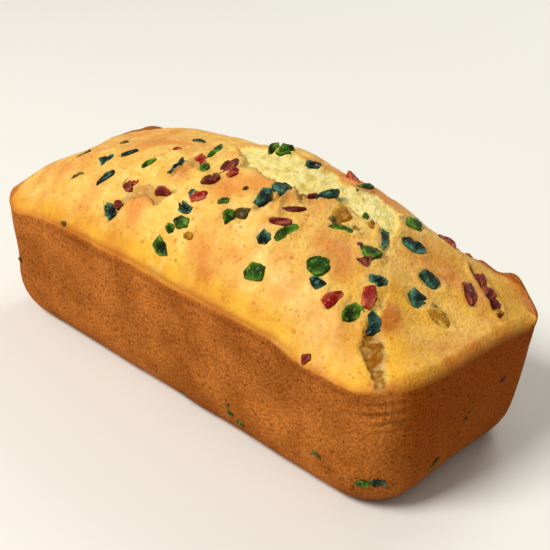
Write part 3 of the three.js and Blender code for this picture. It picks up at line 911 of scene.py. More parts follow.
class Graph:
    """Short calls for putting nodes into a material or a node group."""

    def __init__(self, tree: bpy.types.NodeTree) -> None:
        """Hold the tree that the nodes go into."""
        self.tree = tree

    def node(self, kind: str, **settings: object) -> bpy.types.Node:
        """Add a node and set its properties by name."""
        made = self.tree.nodes.new(kind)
        for name, value in settings.items():
            setattr(made, name, value)
        return made

    def put(self, value: Value, socket: Socket) -> None:
        """Link a socket's value, or set a plain number, vector or colour on it."""
        if isinstance(value, Socket):
            self.tree.links.new(value, socket)
        else:
            socket.default_value = value

    def place(self) -> Socket:
        """Object coordinates of the shaded point."""
        return self.node("ShaderNodeTexCoord").outputs["Object"]

    def mask(self, name: str) -> Socket:
        """A mask that the mesh stores for each vertex."""
        return self.node("ShaderNodeAttribute", attribute_name=name).outputs["Fac"]

    def math(self, operation: str, a: Value, b: Value, clamp: bool = False) -> Socket:
        """Combine two numbers."""
        made = self.node("ShaderNodeMath", operation=operation, use_clamp=clamp)
        self.put(a, made.inputs[0])
        self.put(b, made.inputs[1])
        return made.outputs[0]

    def plus(self, a: Value, b: Value) -> Socket:
        """Add two numbers."""
        return self.math("ADD", a, b)

    def minus(self, a: Value, b: Value, clamp: bool = False) -> Socket:
        """Take the second number off the first."""
        return self.math("SUBTRACT", a, b, clamp)

    def times(self, a: Value, b: Value) -> Socket:
        """Multiply two numbers."""
        return self.math("MULTIPLY", a, b)

    def span(self, value: Value, low: float, high: float, to: tuple = (0.0, 1.0)) -> Socket:
        """Map a number from low..high to a new range, eased and clamped."""
        made = self.node("ShaderNodeMapRange", interpolation_type="SMOOTHSTEP", clamp=True)
        self.put(value, made.inputs["Value"])
        limits = ("From Min", low), ("From Max", high), ("To Min", to[0]), ("To Max", to[1])
        for name, limit in limits:
            made.inputs[name].default_value = limit
        return made.outputs["Result"]

    def mix(self, factor: Value, a: Value, b: Value, blend: str = "MIX") -> Socket:
        """Blend two colours by a factor."""
        made = self.node("ShaderNodeMix", data_type="RGBA", blend_type=blend, clamp_factor=True)
        self.put(factor, made.inputs[0])
        self.put(a, made.inputs[6])
        self.put(b, made.inputs[7])
        return made.outputs[2]

    def noise(self, place: Value, scale: Value, detail: float, rough: float = 0.5) -> Socket:
        """Fractal noise from 0 to 1, its scale in cells per metre."""
        made = self.node("ShaderNodeTexNoise")
        self.put(place, made.inputs["Vector"])
        self.put(scale, made.inputs["Scale"])
        made.inputs["Detail"].default_value = detail
        made.inputs["Roughness"].default_value = rough
        return made.outputs["Fac"]

    def cells(self, place: Value, scale: Value) -> Socket:
        """Distance to the nearest scattered point, in cell sizes."""
        made = self.node("ShaderNodeTexVoronoi")
        self.put(place, made.inputs["Vector"])
        self.put(scale, made.inputs["Scale"])
        return made.outputs["Distance"]

    def bump(self, height: Value, strength: float, distance: float) -> Socket:
        """Normal of a skin that a height lifts, with the distance in metres."""
        made = self.node("ShaderNodeBump")
        made.inputs["Strength"].default_value = strength
        made.inputs["Distance"].default_value = distance
        self.put(height, made.inputs["Height"])
        return made.outputs["Normal"]


def tone(text: str) -> Colour:
    """Turn a six-digit display colour into linear light."""
    parts = [int(text[k : k + 2], 16) / 255 for k in (0, 2, 4)]
    linear = [c / 12.92 if c <= 0.04045 else ((c + 0.055) / 1.055) ** 2.4 for c in parts]
    return (linear[0], linear[1], linear[2], 1.0)


def start_material(name: str) -> tuple[bpy.types.Material, Graph, bpy.types.Node]:
    """Start a material with one shader in it.

    Args:
        name: name of the material.

    Returns:
        The material, the graph of its nodes and its shader.
    """
    material = bpy.data.materials.new(name)
    material.use_nodes = True
    material.node_tree.nodes.clear()
    graph = Graph(material.node_tree)
    shader = graph.node("ShaderNodeBsdfPrincipled")
    graph.put(shader.outputs[0], graph.node("ShaderNodeOutputMaterial").inputs[0])
    return material, graph, shader


@dataclass(frozen=True)
class Speckle:
    """The group that both crust and fruit use for uneven colour.

    Coarse noise shifts the tone, fine noise breaks it up, and scattered spots come where a
    Voronoi cell's centre is near and a slow noise lets them through. The fine noise shakes the
    spots out of round.
    """

    inputs: tuple[str, ...] = ("Coarse", "Fine", "Spots", "Density")
    outputs: tuple[str, ...] = ("Drift", "Grain", "Spot")
    contrast: tuple[float, float] = (0.3, 0.7)
    shake: float = 0.0028
    spot_size: tuple[float, float] = (0.12, 0.34)
    gate_scale: float = 0.45
    gate_ease: float = 0.12

    def build(self) -> bpy.types.NodeTree:
        """Build the group.

        Returns:
            The group, with an input Place and the inputs and outputs named above.
        """
        tree = bpy.data.node_groups.new("speckle", "ShaderNodeTree")
        face = tree.interface
        face.new_socket("Place", in_out="INPUT", socket_type="NodeSocketVector")
        for name in self.inputs:
            face.new_socket(name, in_out="INPUT", socket_type="NodeSocketFloat")
        for name in self.outputs:
            face.new_socket(name, in_out="OUTPUT", socket_type="NodeSocketFloat")
        graph = Graph(tree)
        given = graph.node("NodeGroupInput").outputs
        result = graph.node("NodeGroupOutput").inputs
        place = given["Place"]

        drift = graph.noise(place, given["Coarse"], 4)
        graph.put(graph.span(drift, *self.contrast), result["Drift"])
        grain = graph.noise(place, given["Fine"], 3)
        graph.put(graph.span(grain, *self.contrast), result["Grain"])

        shaken = graph.node("ShaderNodeVectorMath", operation="MULTIPLY_ADD")
        graph.put(grain.node.outputs["Color"], shaken.inputs[0])
        shaken.inputs[1].default_value = (self.shake, self.shake, self.shake)
        graph.put(place, shaken.inputs[2])
        spots = graph.cells(shaken.outputs[0], given["Spots"])
        near = graph.span(spots, *self.spot_size, to=(1.0, 0.0))
        gate = graph.noise(place, graph.times(given["Spots"], self.gate_scale), 2)
        lifted = graph.plus(gate, graph.minus(given["Density"], 1.0))
        graph.put(graph.times(near, graph.span(lifted, 0.0, self.gate_ease)), result["Spot"])
        return tree

    def place(self, graph: Graph, group: bpy.types.NodeTree, *values: float) -> list[Socket]:
        """Place the group in a material.

        Args:
            graph: the material's graph.
            group: the group.
            values: scale of the coarse noise, of the fine noise and of the spots in cells per
                metre, and the density of the spots.

        Returns:
            Its outputs Drift, Grain and Spot.
        """
        made = graph.node("ShaderNodeGroup", node_tree=group)
        graph.put(graph.place(), made.inputs["Place"])
        for name, value in zip(self.inputs, values):
            made.inputs[name].default_value = value
        return [made.outputs[name] for name in self.outputs]


# ---------------------------------------------------------------- finishes


@dataclass(frozen=True)
class BakedFinish:
    """Crust and crumb in one finish: the masks of the mesh choose between their colours."""

    gold: Colour = tone("ECC86C")
    # Deeper gold in patches and towards the lower end, also the colour of the painted shade along the
    # near rim.
    gold_deep_and_shade: Colour = tone("E6B03A")
    pale: Colour = tone("F0DC8C")
    toast: Colour = tone("DE964A")
    freckle: Colour = tone("C27428")
    brown: Colour = tone("B46A2A")
    brown_deep: Colour = tone("94521A")
    # Deeper browning of the lower end, also painted shade where its wall faces away from the key
    # light.
    bake: Colour = tone("944606")
    # Singed crust, also the colour of painted shade in grooves, cracks, under the rim and at the foot
    # of the walls.
    scorch_and_shade: Colour = tone("7C3A0E")
    pore: Colour = tone("4A2206")
    crumb: Colour = tone("EFE29C")
    crumb_deep: Colour = tone("E0CA6A")
    # Brown stain of the crumb, also painted shade on the corner tear's near side.
    stain_and_shade: Colour = tone("8C520A")
    lighter_grain: Colour = (1.5, 1.5, 1.7, 1.0)
    darker_grain: Colour = (0.5, 0.42, 0.38, 1.0)
    dull_grain: Colour = (0.86, 0.76, 0.62, 1.0)
    top_speckle: Row = (150, 800, 420, 0.55)
    wall_speckle: Row = (60, 1150, 460, 0.6)
    crumb_speckle: Row = (220, 900, 420, 0.46)
    roughness: float = 0.5
    dry_roughness: float = 0.35
    grain_roughness: float = 0.14
    glaze: float = 0.14
    glaze_roughness: float = 0.32
    specular: float = 0.05
    bump_strength: float = 0.6
    bump_distance: float = 0.00034

    def build(self, group: bpy.types.NodeTree) -> bpy.types.Material:
        """Build the material.

        Args:
            group: the speckle group.

        Returns:
            The finished material.
        """
        material, graph, shader = start_material("baked_crust")
        top = Speckle().place(graph, group, *self.top_speckle)
        side = Speckle().place(graph, group, *self.wall_speckle)
        torn = Speckle().place(graph, group, *self.crumb_speckle)
        walls = graph.mask("walls")
        torn_open = graph.mask("crumb")

        crumb_drift, crumb_grain, crumb_spot = torn
        freckled = graph.times(crumb_spot, 0.35)
        gold = graph.mix(freckled, self.crust_colour(graph, top), self.freckle)
        crumb = graph.mix(crumb_drift, self.crumb, self.crumb_deep)
        crumb = graph.mix(freckled, crumb, self.freckle)
        # On the crumb the toast mask brings in the stain and the painted shade of the corner tear.
        crumb = graph.mix(graph.mask("toast"), crumb, self.stain_and_shade)
        colour = graph.mix(walls, gold, self.wall_colour(graph, side))
        # Painted shade: the scorch mask darkens grooves, cracks, the wall under the rim and its foot,
        # besides singed crust.
        colour = graph.mix(graph.mask("scorch_and_shade"), colour, self.scorch_and_shade)
        graph.put(graph.mix(torn_open, colour, crumb), shader.inputs["Base Color"])

        dry = graph.math("MAXIMUM", walls, torn_open)
        rough = graph.plus(self.roughness, graph.times(dry, self.dry_roughness))
        rough = graph.plus(rough, graph.times(top[1], self.grain_roughness))
        graph.put(rough, shader.inputs["Roughness"])
        graph.put(self.specular, shader.inputs["Specular IOR Level"])
        glaze = graph.times(graph.minus(1.0, dry), self.glaze)
        graph.put(glaze, shader.inputs["Coat Weight"])
        graph.put(self.glaze_roughness, shader.inputs["Coat Roughness"])

        sandy = graph.minus(graph.times(side[1], 1.3), side[2])
        height = graph.minus(top[1], graph.times(top[2], 0.5))
        height = graph.plus(height, graph.times(sandy, walls))
        height = graph.plus(height, graph.times(graph.times(crumb_grain, torn_open), 0.8))
        normal = graph.bump(height, self.bump_strength, self.bump_distance)
        graph.put(normal, shader.inputs["Normal"])
        return material

    def crust_colour(self, graph: Graph, speckle: list[Socket]) -> Socket:
        """Colour the golden crust: deeper towards the lower end, with painted shade along the near
        rim, toasted in patches, and freckled.

        Args:
            graph: the material's graph.
            speckle: drift, grain and spots of the top.

        Returns:
            The colour.
        """
        drift, grain, spot = speckle
        ripe_and_rim_shade = graph.mask("ripe_and_rim_shade")
        # Painted shade: the band along the near rim turns to the deeper gold.
        turned = graph.math("MAXIMUM", graph.times(drift, 0.65), ripe_and_rim_shade)
        gold = graph.mix(turned, self.gold, self.gold_deep_and_shade)
        pale = graph.span(graph.noise(graph.place(), 240, 4, 0.55), 0.5, 0.72, to=(0.0, 0.6))
        pale = graph.times(pale, graph.minus(1.0, ripe_and_rim_shade, clamp=True))
        gold = graph.mix(pale, gold, self.pale)
        patchy = graph.plus(graph.mask("toast"), graph.times(grain, 0.3))
        patchy = graph.plus(patchy, graph.times(drift, 0.3))
        patchy = graph.minus(patchy, 0.24, clamp=True)
        gold = graph.mix(patchy, gold, graph.mix(ripe_and_rim_shade, self.toast, self.freckle))
        dull = graph.span(grain, 0.55, 0.0)
        gold = graph.mix(dull, gold, self.dull_grain, "MULTIPLY")
        return graph.mix(graph.times(spot, 0.7), gold, self.freckle)

    def wall_colour(self, graph: Graph, speckle: list[Socket]) -> Socket:
        """Colour the browned walls: sandy light and dark grains, pores, and deeper browning with
        painted shade on the lower end.

        Args:
            graph: the material's graph.
            speckle: drift, grain and spots of the walls.

        Returns:
            The colour.
        """
        drift, grain, spot = speckle
        brown = graph.mix(drift, self.brown, self.brown_deep)
        # Painted shade: the lower end's wall, turned from the key light, is darkened in colour.
        brown = graph.mix(graph.mask("bake"), brown, self.bake)
        light = graph.span(grain, 0.55, 1.0, to=(0.0, 0.55))
        brown = graph.mix(light, brown, self.lighter_grain, "MULTIPLY")
        dark = graph.span(grain, 0.45, 0.0, to=(0.0, 0.5))
        brown = graph.mix(dark, brown, self.darker_grain, "MULTIPLY")
        return graph.mix(graph.times(spot, 0.6), brown, self.pore)


@dataclass(frozen=True)
class CandyFinish:
    """Candied fruit: dark and clear in the middle, with painted highlights in lighter streaks and on
    its top edges, and sticky.
    """

    dark: Colour
    middle: Colour
    # light is the colour of the painted highlights.
    light: Colour
    speckle: Row = (300, 1500, 520, 0.6)
    streak_highlight_scale: float = 560.0
    streak_highlights: float = 0.42
    edge_highlight: float = 0.8
    roughness: float = 0.13
    grain_roughness: float = 0.12
    specular: float = 0.1
    syrup: float = 0.07
    syrup_roughness: float = 0.05
    bump_strength: float = 0.8
    bump_distance: float = 0.0005

    def build(self, name: str, group: bpy.types.NodeTree) -> bpy.types.Material:
        """Build the material.

        Args:
            name: name of the material.
            group: the speckle group.

        Returns:
            The finished material.
        """
        material, graph, shader = start_material(name)
        drift, grain, _ = Speckle().place(graph, group, *self.speckle)
        middle = graph.mix(graph.mask("shade"), self.middle, self.dark)
        colour = graph.mix(drift, self.dark, middle)
        # Painted highlights: lighter streaks that stand in for glints.
        highlight_streak = graph.noise(graph.place(), self.streak_highlight_scale, 2, 0.55)
        highlight_streak = graph.span(highlight_streak, 0.58, 0.68, to=(0.0, self.streak_highlights))
        colour = graph.mix(highlight_streak, colour, self.light)
        # Painted highlight: the mask named cut lightens the top edges.
        colour = graph.mix(graph.times(graph.mask("cut"), self.edge_highlight), colour, self.light)
        graph.put(colour, shader.inputs["Base Color"])
        rough = graph.plus(self.roughness, graph.times(grain, self.grain_roughness))
        graph.put(rough, shader.inputs["Roughness"])
        graph.put(self.specular, shader.inputs["Specular IOR Level"])
        graph.put(self.syrup, shader.inputs["Coat Weight"])
        graph.put(self.syrup_roughness, shader.inputs["Coat Roughness"])
        normal = graph.bump(grain, self.bump_strength, self.bump_distance)
        graph.put(normal, shader.inputs["Normal"])
        return material


CANDY_FINISHES: dict[Candy, CandyFinish] = {
    Candy.GREEN: CandyFinish(tone("0C1C02"), tone("285A0A"), tone("88C234")),
    Candy.TEAL: CandyFinish(tone("070F0B"), tone("122C25"), tone("5CA086")),
    Candy.RED: CandyFinish(tone("800E08"), tone("B8281C"), tone("EC8458")),
    Candy.MAROON: CandyFinish(tone("4E0806"), tone("821C14"), tone("C4624A")),
    Candy.AMBER: CandyFinish(tone("824602"), tone("DC960C"), tone("FFDC66")),
    Candy.OLIVE: CandyFinish(tone("40320A"), tone("6E5E1E"), tone("A8944C")),
}


# ---------------------------------------------------------------- the cake's body


@dataclass(frozen=True)
class Browning:
    """Where the loaf is toasted, deeper gold, stained or browned like its walls, and where shade is
    painted into its colour: on the lower end, along the near rim, on the corner tear's near side,
    under the rim and at the foot of the walls.

    A pair holds where a ramp starts and its length. Far rim, fins and corner tear hold places
    in the plan, and the masks are worked out from them.
    """

    form: LoafForm
    toast_patches: Noise = Noise(0.3, 6, 43)
    near_toast: tuple[float, float] = (0.75, 2.4)
    end_toast: tuple[float, float, float] = (0.6, 1.0, 3.6)
    far_from: tuple[float, float] = (-92.0, 36.0)
    far_width: float = 4.5
    far_scorch: float = 0.15
    bake_and_shade_ramp: tuple[float, float] = (93.5, 6.5)
    ripe_ramp: tuple[float, float] = (48.0, 30.0)
    ripe_end: float = 0.85
    ripe_least: float = 0.1
    rim_shade_ramp: tuple[float, float] = (1.0, 8.0)
    ripe_patches: Noise = Noise(0.3, 18, 59)
    tear_x: tuple[float, ...] = (73, 77.5, 81, 84.5, 87.6, 92)
    tear_y: tuple[float, ...] = (-24, -28, -30, -32.4, -36, -39.6)
    tear_ramp: tuple[float, float] = (71.0, 5.0)
    cleft: tuple[float, float, float] = (0.75, 8.0, 6.0)
    aside_x: float = -15.0
    stain_patches: Noise = Noise(1.0, 2.2, 47)
    stain_flecks: Noise = Noise(1.0, 0.8, 49, 1)
    rim_wander: Noise = Noise(1.0, 7, 53)
    fin_ramp: tuple[float, float] = (30.0, 8.0)
    fin_stop: tuple[float, float] = (82.0, 6.0)
    left_ramp: tuple[float, float] = (70.0, 14.0)
    left_side: tuple[float, float] = (2.0, 14.0)
    band: Ridge = Ridge(0.42, 1.9, 1.0)
    band_ramp: tuple[float, float] = (-80.0, 30.0)
    band_wander: Noise = Noise(0.3, 8, 91, 1)
    base_shade: float = 0.35
    base_height: float = 8.0
    wall_toast: tuple[float, float] = (1.0, 3.0)
    wall_ease: float = 0.5

    def toast(self, x: Array, y: Array, inside: Array) -> Array:
        """Toasting of the crust: in patches, along the near rim and on the lower end's edge.

        Args:
            x: plan places along the loaf.
            y: plan places across it.
            inside: their distances from the outline.

        Returns:
            The mask, uneven by noise.
        """
        noisy = self.toast_patches.at(flat_points(x, y))
        end = self.form.end_face(x, y)
        near_share, near_width = self.near_toast
        near_rim = near_share * (y < 0) * (1 - smooth((inside + noisy) / near_width)) * (1 - end)
        end_share, end_from, end_width = self.end_toast
        end_rim = end_share * end * (1 - ramp(inside + noisy, end_from, end_width))
        return total_rise(TOASTED, x, y) * (1 + noisy) + 0.5 * noisy + near_rim + end_rim

    def far_rim(self, x: Array, y: Array, inside: Array) -> Array:
        """Mask of the thin crust at the far rim and at the left end: a bell from the outline."""
        left, far = self.far_from
        return np.where((y > far) | (x < left), bell(inside, self.far_width), 0.0)

    def bake(self, x: Array) -> Array:
        """Deeper browning and painted shade of the lower end's wall, which faces away from the key
        light: eased in round the corner.
        """
        return ramp(x, *self.bake_and_shade_ramp)

    def ripeness_and_rim_shade(self, x: Array, y: Array, inside: Array) -> Array:
        """Deeper gold of the crust towards the lower end, and painted shade along the near rim, where
        the dome curves down to it.
        """
        # Painted shade: a band along the near rim, where the dome curves down to the lip.
        near_rim = np.where(y < 0, 1 - ramp(inside, *self.rim_shade_ramp), 0.0)
        slow = self.ripe_least + self.ripe_patches.at(flat_points(x, y))
        return np.maximum(self.ripe_end * ramp(x, *self.ripe_ramp), near_rim) + slow

    def stain_and_shade(self, x: Array, y: Array) -> Array:
        """Brown the crumb: stain and painted shade in ragged patches on the corner tear's near side,
        where its steep wall faces away from the light, and stain in flecks beyond.

        Args:
            x: plan places along the loaf.
            y: plan places across it.

        Returns:
            The mask.
        """
        spot = flat_points(x, y)
        ragged = self.stain_patches.at(spot)
        fine = self.stain_flecks.at(spot)
        middle = np.interp(x, self.tear_x, self.tear_y)
        # Painted shade with the stain: the tear's near side, whose steep wall faces away from the
        # light.
        side = smooth((middle + 1.4 * ragged - y) / 1.6 + 0.5)
        flecked = 0.35 * smooth(1.2 * ragged + 0.8 * fine - 0.1)
        torn = side * (0.9 + 0.3 * fine) + (1 - side) * flecked
        share, start, length = self.cleft
        aside = smooth((self.aside_x - x) / 3)
        loose = (0.3 + 0.4 * aside) * smooth(ragged - 0.1 + 0.4 * aside)
        stained = np.maximum(torn, share * ramp(y, start, length))
        return stained * ramp(x, *self.tear_ramp) + loose

    def over_rim(self, x: Array, y: Array, inside: Array) -> Array:
        """Wall colour that reaches over the rim: a thin band, wider on the fins and at +X.

        Args:
            x: plan places along the loaf.
            y: plan places across it.
            inside: their distances from the outline.

        Returns:
            The mask.
        """
        wander = self.rim_wander.at(flat_points(x, y))
        end = self.form.end_face(x, y)
        far = ramp(y, *self.fin_ramp) * (1 - 0.8 * ramp(x, *self.fin_stop))
        left = ramp(-x, *self.left_ramp) * ramp(y, *self.left_side)
        width = 0.05 + 0.1 * wander + 2 * far + (11 + 2.5 * wander) * left
        plain = 1 - ramp(inside, width, 0.3 + 0.8 * far + 8 * left)
        return plain * (1 - end) + end * (1 - smooth(inside))

    def walls(self, place: Array, rim_z: Array, end: Array) -> dict[str, Array]:
        """Brown the walls: fully on the long sides, eased in below the lower end's edge, with painted
        shade in a band under the rim and towards the foot.

        Args:
            place: places on the walls, with x, y and z last.
            rim_z: the rim's height above each place of a ring.
            end: mask of the lower end at the rim.

        Returns:
            The masks by name.
        """
        x = place[..., 0]
        z = place[..., 2]
        below = rim_z - z
        # Painted shadow: a dark band a little below the rim, where the top overhangs the wall.
        band = self.band.rise(below - self.band_wander.at(place))
        band = band * (1 - end) * ramp(x, *self.band_ramp)
        # Painted shade: darker towards the foot of the walls, near the table.
        base = self.base_shade * smooth((self.base_height - z) / self.base_height)
        return {
            "crumb": np.zeros_like(x),
            "toast": 1 - ramp(below, *self.wall_toast),
            "scorch_and_shade": np.maximum(band, base),
            "walls": np.maximum(end, smooth(below / self.wall_ease)),
            # Painted shade with deeper browning on the lower end.
            "bake": self.bake(x),
            "ripe_and_rim_shade": np.ones_like(x),
        }


@dataclass(frozen=True)
class CakeBody:
    """The whole loaf in one closed mesh, with its tears, its lip and its finely uneven skin.

    Collar, dip and ring lie round each piece of fruit, their places and spreads in its own half
    lengths. Lip and groove lie along the near rim, and wrinkles round the near corner.
    """

    form: LoafForm
    tears: Tears
    browning: Browning
    pieces: tuple[Die, ...]
    steps_along: int = 324
    steps_across: int = 168
    bunching: float = 0.76
    wall_rings: int = 32
    wall_bunching: float = 1.25
    base_rings: int = 7
    floor_rings: tuple[float, ...] = (0.86, 0.6, 0.3)
    floor_browning: float = 0.7
    rim_calm: float = 3.0
    coarse_skin: Noise = Noise(0.34, 11, 3)
    fine_skin: Noise = Noise(0.22, 3.4, 13)
    crumb_relief: Noise = Noise(0.3, 1.9, 19, 2)
    collar: Ridge = Ridge(0.4, 1.3, 0.34)
    dip: Ridge = Ridge(0.1, 0.9, 0.15)
    ring: Ridge = Ridge(0.3, 1.02, 0.2)
    lip: Ridge = Ridge(0.35, 0.1, 0.45)
    groove: Ridge = Ridge(0.45, 0.95, 0.4)
    groove_shade: Ridge = Ridge(0.42, 0.95, 0.32)
    groove_wander: Noise = Noise(0.2, 9, 83, 1)
    lip_start: tuple[float, float] = (-70.0, 20.0)
    lip_stop: tuple[float, float] = (46.0, 16.0)
    slow_push: tuple[Noise, Noise] = (Noise(0.4, 13, 101, 1), Noise(0.4, 13, 102, 1))
    quick_push: tuple[Noise, Noise] = (Noise(0.1, 4.5, 103, 1), Noise(0.1, 4.5, 104, 1))
    wrinkle_corner: tuple[float, float, float] = (94.0, -42.0, 40.0)
    wrinkle_height: float = 0.56
    wrinkle_reach: float = 9.0
    wrinkle_drop: float = 5.5
    wrinkle_pitch: tuple[float, float] = (1.8, 0.4)
    wrinkle_wander: Noise = Noise(1.4, 7, 105, 1)

    def fruit_collars(self, x: Array, y: Array) -> tuple[Array, Array]:
        """Let the crust dip beside each piece of fruit and swell a little round it.

        Args:
            x: plan places along the loaf.
            y: plan places across it.

        Returns:
            Change of height, and a mask of the paler ring at the fruit's edge.
        """
        change = np.zeros_like(x)
        pale = np.zeros_like(x)
        for die in self.pieces:
            away, near = die.spread_out(x, y)
            change += np.where(near, self.collar.rise(away) - self.dip.rise(away), 0.0)
            pale = np.maximum(pale, np.where(near, self.ring.rise(away), 0.0))
        return change, pale

    def near_lip(self, x: Array, y: Array, inside: Array) -> tuple[Array, Array]:
        """The thin lip that the tin left along the near side, and the groove behind it.

        Args:
            x: plan places along the loaf.
            y: plan places across it.
            inside: their distances from the outline.

        Returns:
            Change of height, and a mask of painted shade in the groove.
        """
        behind = inside - self.groove_wander.at(flat_points(x, y))
        reach = ramp(x, *self.lip_start) * (1 - ramp(x, *self.lip_stop)) * (y < 0)
        change = (self.lip.rise(inside) - self.groove.rise(behind)) * reach
        # Painted shade: the groove behind the lip is darkened in colour.
        return change, self.groove_shade.rise(behind) * reach

    def top(self, x: Array, y: Array) -> tuple[Array, dict[str, Array]]:
        """Finish the top: the risen top and every change made to it.

        The skin is uneven by noise, coarse on the crust and fine on the crumb, and stays calm
        beside the rim.

        Args:
            x: plan places along the loaf.
            y: plan places across it.

        Returns:
            Heights over the table, and the masks by name.
        """
        spot = flat_points(x, y)
        inside = self.form.edge_distance(x, y)
        torn, crumb, scorch_and_shade = self.tears.change(x, y)
        collar, pale = self.fruit_collars(x, y)
        # groove is painted shade in the groove behind the lip.
        lip, groove = self.near_lip(x, y, inside)
        crust = 1 - crumb
        skin = (self.coarse_skin.at(spot) + self.fine_skin.at(spot)) * crust
        skin = (skin + self.crumb_relief.at(spot) * crumb) * smooth(inside / self.rim_calm)
        plates = total_rise(PLATES, x, y) * crust
        far_rim = self.browning.far_rim(x, y, inside)
        toast = self.browning.toast(x, y, inside) + far_rim
        masks = {
            "crumb": np.maximum(crumb, pale),
            # On the crumb this holds the stain and the painted shade of the corner tear.
            "toast": toast * crust + self.browning.stain_and_shade(x, y) * crumb,
            # Painted shade in the groove and the fissures, with singed crust and the far rim's thin
            # crust.
            "scorch_and_shade": np.maximum(scorch_and_shade, groove) + self.browning.far_scorch * far_rim,
            "walls": self.browning.over_rim(x, y, inside),
            # Painted shade with deeper browning on the lower end.
            "bake": self.browning.bake(x) * (1 - smooth(inside / self.rim_calm)),
            # Deeper gold towards the lower end, with painted shade along the near rim.
            "ripe_and_rim_shade": self.browning.ripeness_and_rim_shade(x, y, inside),
        }
        return self.form.risen_top(x, y) + torn + collar + lip + skin + plates, masks

    def unevened(self, cloud: Array) -> Array:
        """Push the whole skin about by slow noise, and wrinkle the near corner under its rim.

        The wrinkles are waves down the wall that fade with the distance from the corner.

        Args:
            cloud: every vertex in millimetres.

        Returns:
            The vertices after they moved.
        """
        moved = cloud.copy()
        for axis, (slow, quick) in enumerate(zip(self.slow_push, self.quick_push)):
            moved[:, axis] += slow.at(cloud) + quick.at(cloud)
        x, y, z = cloud.T
        corner_x, corner_y, corner_z = self.wrinkle_corner
        down, round_corner = self.wrinkle_pitch
        wave = down * z - round_corner * (x + y - corner_x - corner_y)
        wave += self.wrinkle_wander.at(cloud)
        fold = self.wrinkle_height * bell(np.hypot(x - corner_x, y - corner_y), self.wrinkle_reach)
        fold *= bell(z - corner_z, self.wrinkle_drop) * np.sin(wave)
        moved[:, 0] += fold
        moved[:, 1] -= fold
        return moved

    def build(self, material: bpy.types.Material) -> bpy.types.Object:
        """Build the mesh and dress it: a grid over the top, rings down the walls, a flat base.

        The wall's rings follow the plan's border at its inset for each height, down to the
        table. Smaller copies of the last ring close the base round its middle.

        Args:
            material: the finish of crust and crumb.

        Returns:
            The cake's object, with its masks stored for each vertex.
        """
        form = self.form
        across = np.linspace(-1, 1, self.steps_across + 1)
        v_line = np.sin(self.bunching * pi * across / 2) / sin(self.bunching * pi / 2)
        u, v = np.meshgrid(np.linspace(-1, 1, self.steps_along + 1), v_line, indexing="ij")
        x, y = form.plan(u, v, np.zeros_like(u))
        z, top_masks = self.top(x, y)
        number = np.arange(u.size).reshape(u.shape)
        border = np.concatenate(
            [number[:-1, 0], number[-1, :-1], number[:0:-1, -1], number[0, :0:-1]]
        )
        edge_u, edge_v, edge_x, edge_y, rim_z = (part.ravel()[border] for part in (u, v, x, y, z))

        down = np.linspace(0, 1, self.wall_rings + 1)[1:, None] ** self.wall_bunching
        angles = np.linspace(0, pi / 2, self.base_rings + 1)[1:, None]
        low = form.base_height * (1 - np.sin(angles)) * np.ones_like(rim_z)
        heights = np.concatenate([rim_z + (form.base_height - rim_z) * down, low])
        wall = np.stack([*form.plan(edge_u, edge_v, form.wall_inset(heights)), heights], -1)
        wall_masks = self.browning.walls(wall, rim_z, form.end_face(edge_x, edge_y))
        floor = wall[-1] * np.array([(scale, scale, 0.0) for scale in self.floor_rings])[:, None]
        parts = [np.stack([x, y, z], -1), wall, floor, np.zeros((1, 3))]
        cloud = np.concatenate([part.reshape(-1, 3) for part in parts])

        middle = len(cloud) - 1
        rings = np.vstack([border, np.arange(u.size, middle).reshape(-1, len(border))])
        after = np.roll(rings, -1, axis=1)
        top_quads = [number[:-1, :-1], number[1:, :-1], number[1:, 1:], number[:-1, 1:]]
        ring_quads = [rings[:-1], rings[1:], after[1:], after[:-1]]
        quads = [np.stack(corners, -1).reshape(-1, 4) for corners in (top_quads, ring_quads)]
        fan = np.stack([rings[-1], np.full(len(border), middle), after[-1]], -1)
        piece = make_piece("cake_body", self.unevened(cloud), np.concatenate(quads), fan)
        for name, values in top_masks.items():
            shade = self.floor_browning if name in ("walls", "bake") else 0.0
            base = np.full(len(self.floor_rings) * len(border) + 1, shade)
            add_mask(piece, name, np.concatenate([values.ravel(), wall_masks[name].ravel(), base]))
        settle(piece, material)
        return piece


# ---------------------------------------------------------------- the fruit's pieces


